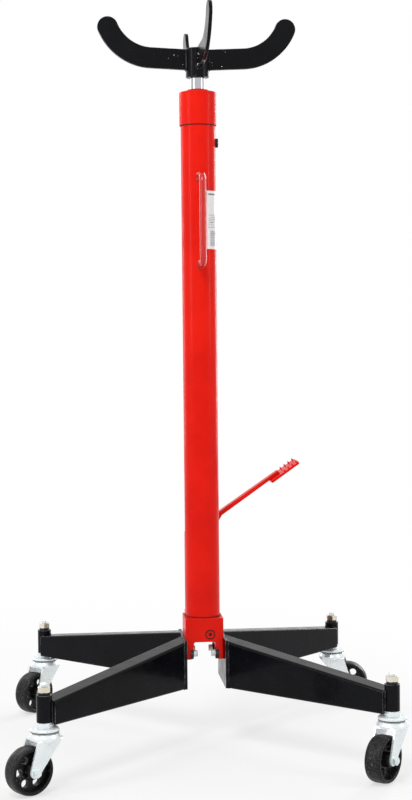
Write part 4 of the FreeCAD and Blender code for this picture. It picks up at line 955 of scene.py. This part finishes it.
floor_r = 14.0
floor_drop = 0.0005
near_r, far_r = 0.40, 1.7
near_glow, far_glow = 0.62, 1.0
floor_shape = bmesh.new()
bmesh.ops.create_circle(floor_shape, cap_ends=True, segments=96, radius=floor_r,
                        matrix=Matrix.Translation((0, 0, -floor_drop)))
floor_mesh = bpy.data.meshes.new("floor")
floor_shape.to_mesh(floor_mesh)
floor_shape.free()
floor = bpy.data.objects.new("floor", floor_mesh)
bpy.context.scene.collection.objects.link(floor)

floor_material = bpy.data.materials.new("pale_floor")
floor_material.use_nodes = True
tree = floor_material.node_tree
tree.nodes.clear()
output = tree.nodes.new("ShaderNodeOutputMaterial")
paint = add(tree, "BsdfDiffuse")
paint.inputs["Color"].default_value = (0.92, 0.92, 0.92, 1.0)
glow = add(tree, "Emission", Color=(1.0, 1.0, 1.0, 1.0), Strength=1.0)
seen = seen_rays(tree)
coordinates = add(tree, "TexCoord")
reach = measured(tree, "LENGTH", coordinates.outputs["Object"])
lift = ramp(tree, reach, near_r, far_r, near_glow, far_glow)
mix = tree.nodes.new("ShaderNodeMixShader")
tree.links.new(sums(tree, "MULTIPLY", seen, lift), mix.inputs["Fac"])
tree.links.new(paint.outputs["BSDF"], mix.inputs[1])
tree.links.new(glow.outputs["Emission"], mix.inputs[2])
tree.links.new(mix.outputs["Shader"], output.inputs["Surface"])
floor_mesh.materials.append(floor_material)
print("floor radius", floor_r, "m")

# %% [markdown]
# The light is a plain studio's: a bright room all round, a large soft box high in front,
# a tall strip on each side that draws a soft streak down the round column, and two behind
# that whiten its edges. The camera and mirror rays see the room as plain white. Together
# the lamps light a grey card at about its own value, so each colour comes out as mixed.

# %% Studio light
world = bpy.data.worlds.new("studio")
bpy.context.scene.world = world
world.use_nodes = True
tree = world.node_tree
tree.nodes.clear()
output = tree.nodes.new("ShaderNodeOutputWorld")
room = add(tree, "Background", Color=(1.0, 1.0, 1.0, 1.0), Strength=0.46)
backdrop = add(tree, "Background", Color=(1.0, 1.0, 1.0, 1.0), Strength=1.0)
seen = seen_rays(tree)
mix = tree.nodes.new("ShaderNodeMixShader")
tree.links.new(seen, mix.inputs["Fac"])
tree.links.new(room.outputs["Background"], mix.inputs[1])
tree.links.new(backdrop.outputs["Background"], mix.inputs[2])
tree.links.new(mix.outputs["Shader"], output.inputs["Surface"])


def soft_box(name, place, aim, width, height, power):
    lamp = bpy.data.lights.new(name, "AREA")
    lamp.shape = "RECTANGLE"
    lamp.size = width
    lamp.size_y = height
    lamp.energy = power
    holder = bpy.data.objects.new(name, lamp)
    holder.matrix_world = Matrix.Translation(place) @ (
        Vector(aim) - Vector(place)).to_track_quat("-Z", "Y").to_matrix().to_4x4()
    bpy.context.scene.collection.objects.link(holder)
    holder.visible_camera = False


soft_box("key_box", (-0.8, -1.7, 2.6), (0, 0, 1.05), 0.9, 0.8, 30.0)
soft_box("left_strip", (-1.95, -0.95, 1.50), (0, 0, 1.00), 0.28, 1.7, 10.0)
soft_box("right_strip", (1.95, -0.85, 1.50), (0, 0, 1.00), 0.28, 1.7, 10.0)
soft_box("left_rim", (-1.5, 1.8, 1.3), (0, 0, 0.7), 0.3, 2.0, 10.0)
soft_box("right_rim", (1.5, 1.8, 1.3), (0, 0, 0.7), 0.3, 2.0, 24.0)
print("five soft boxes and a bright room")

# %% [markdown]
# Last, the scene is brought up to date with everything on it.

# %% Finish
bpy.context.view_layer.update()
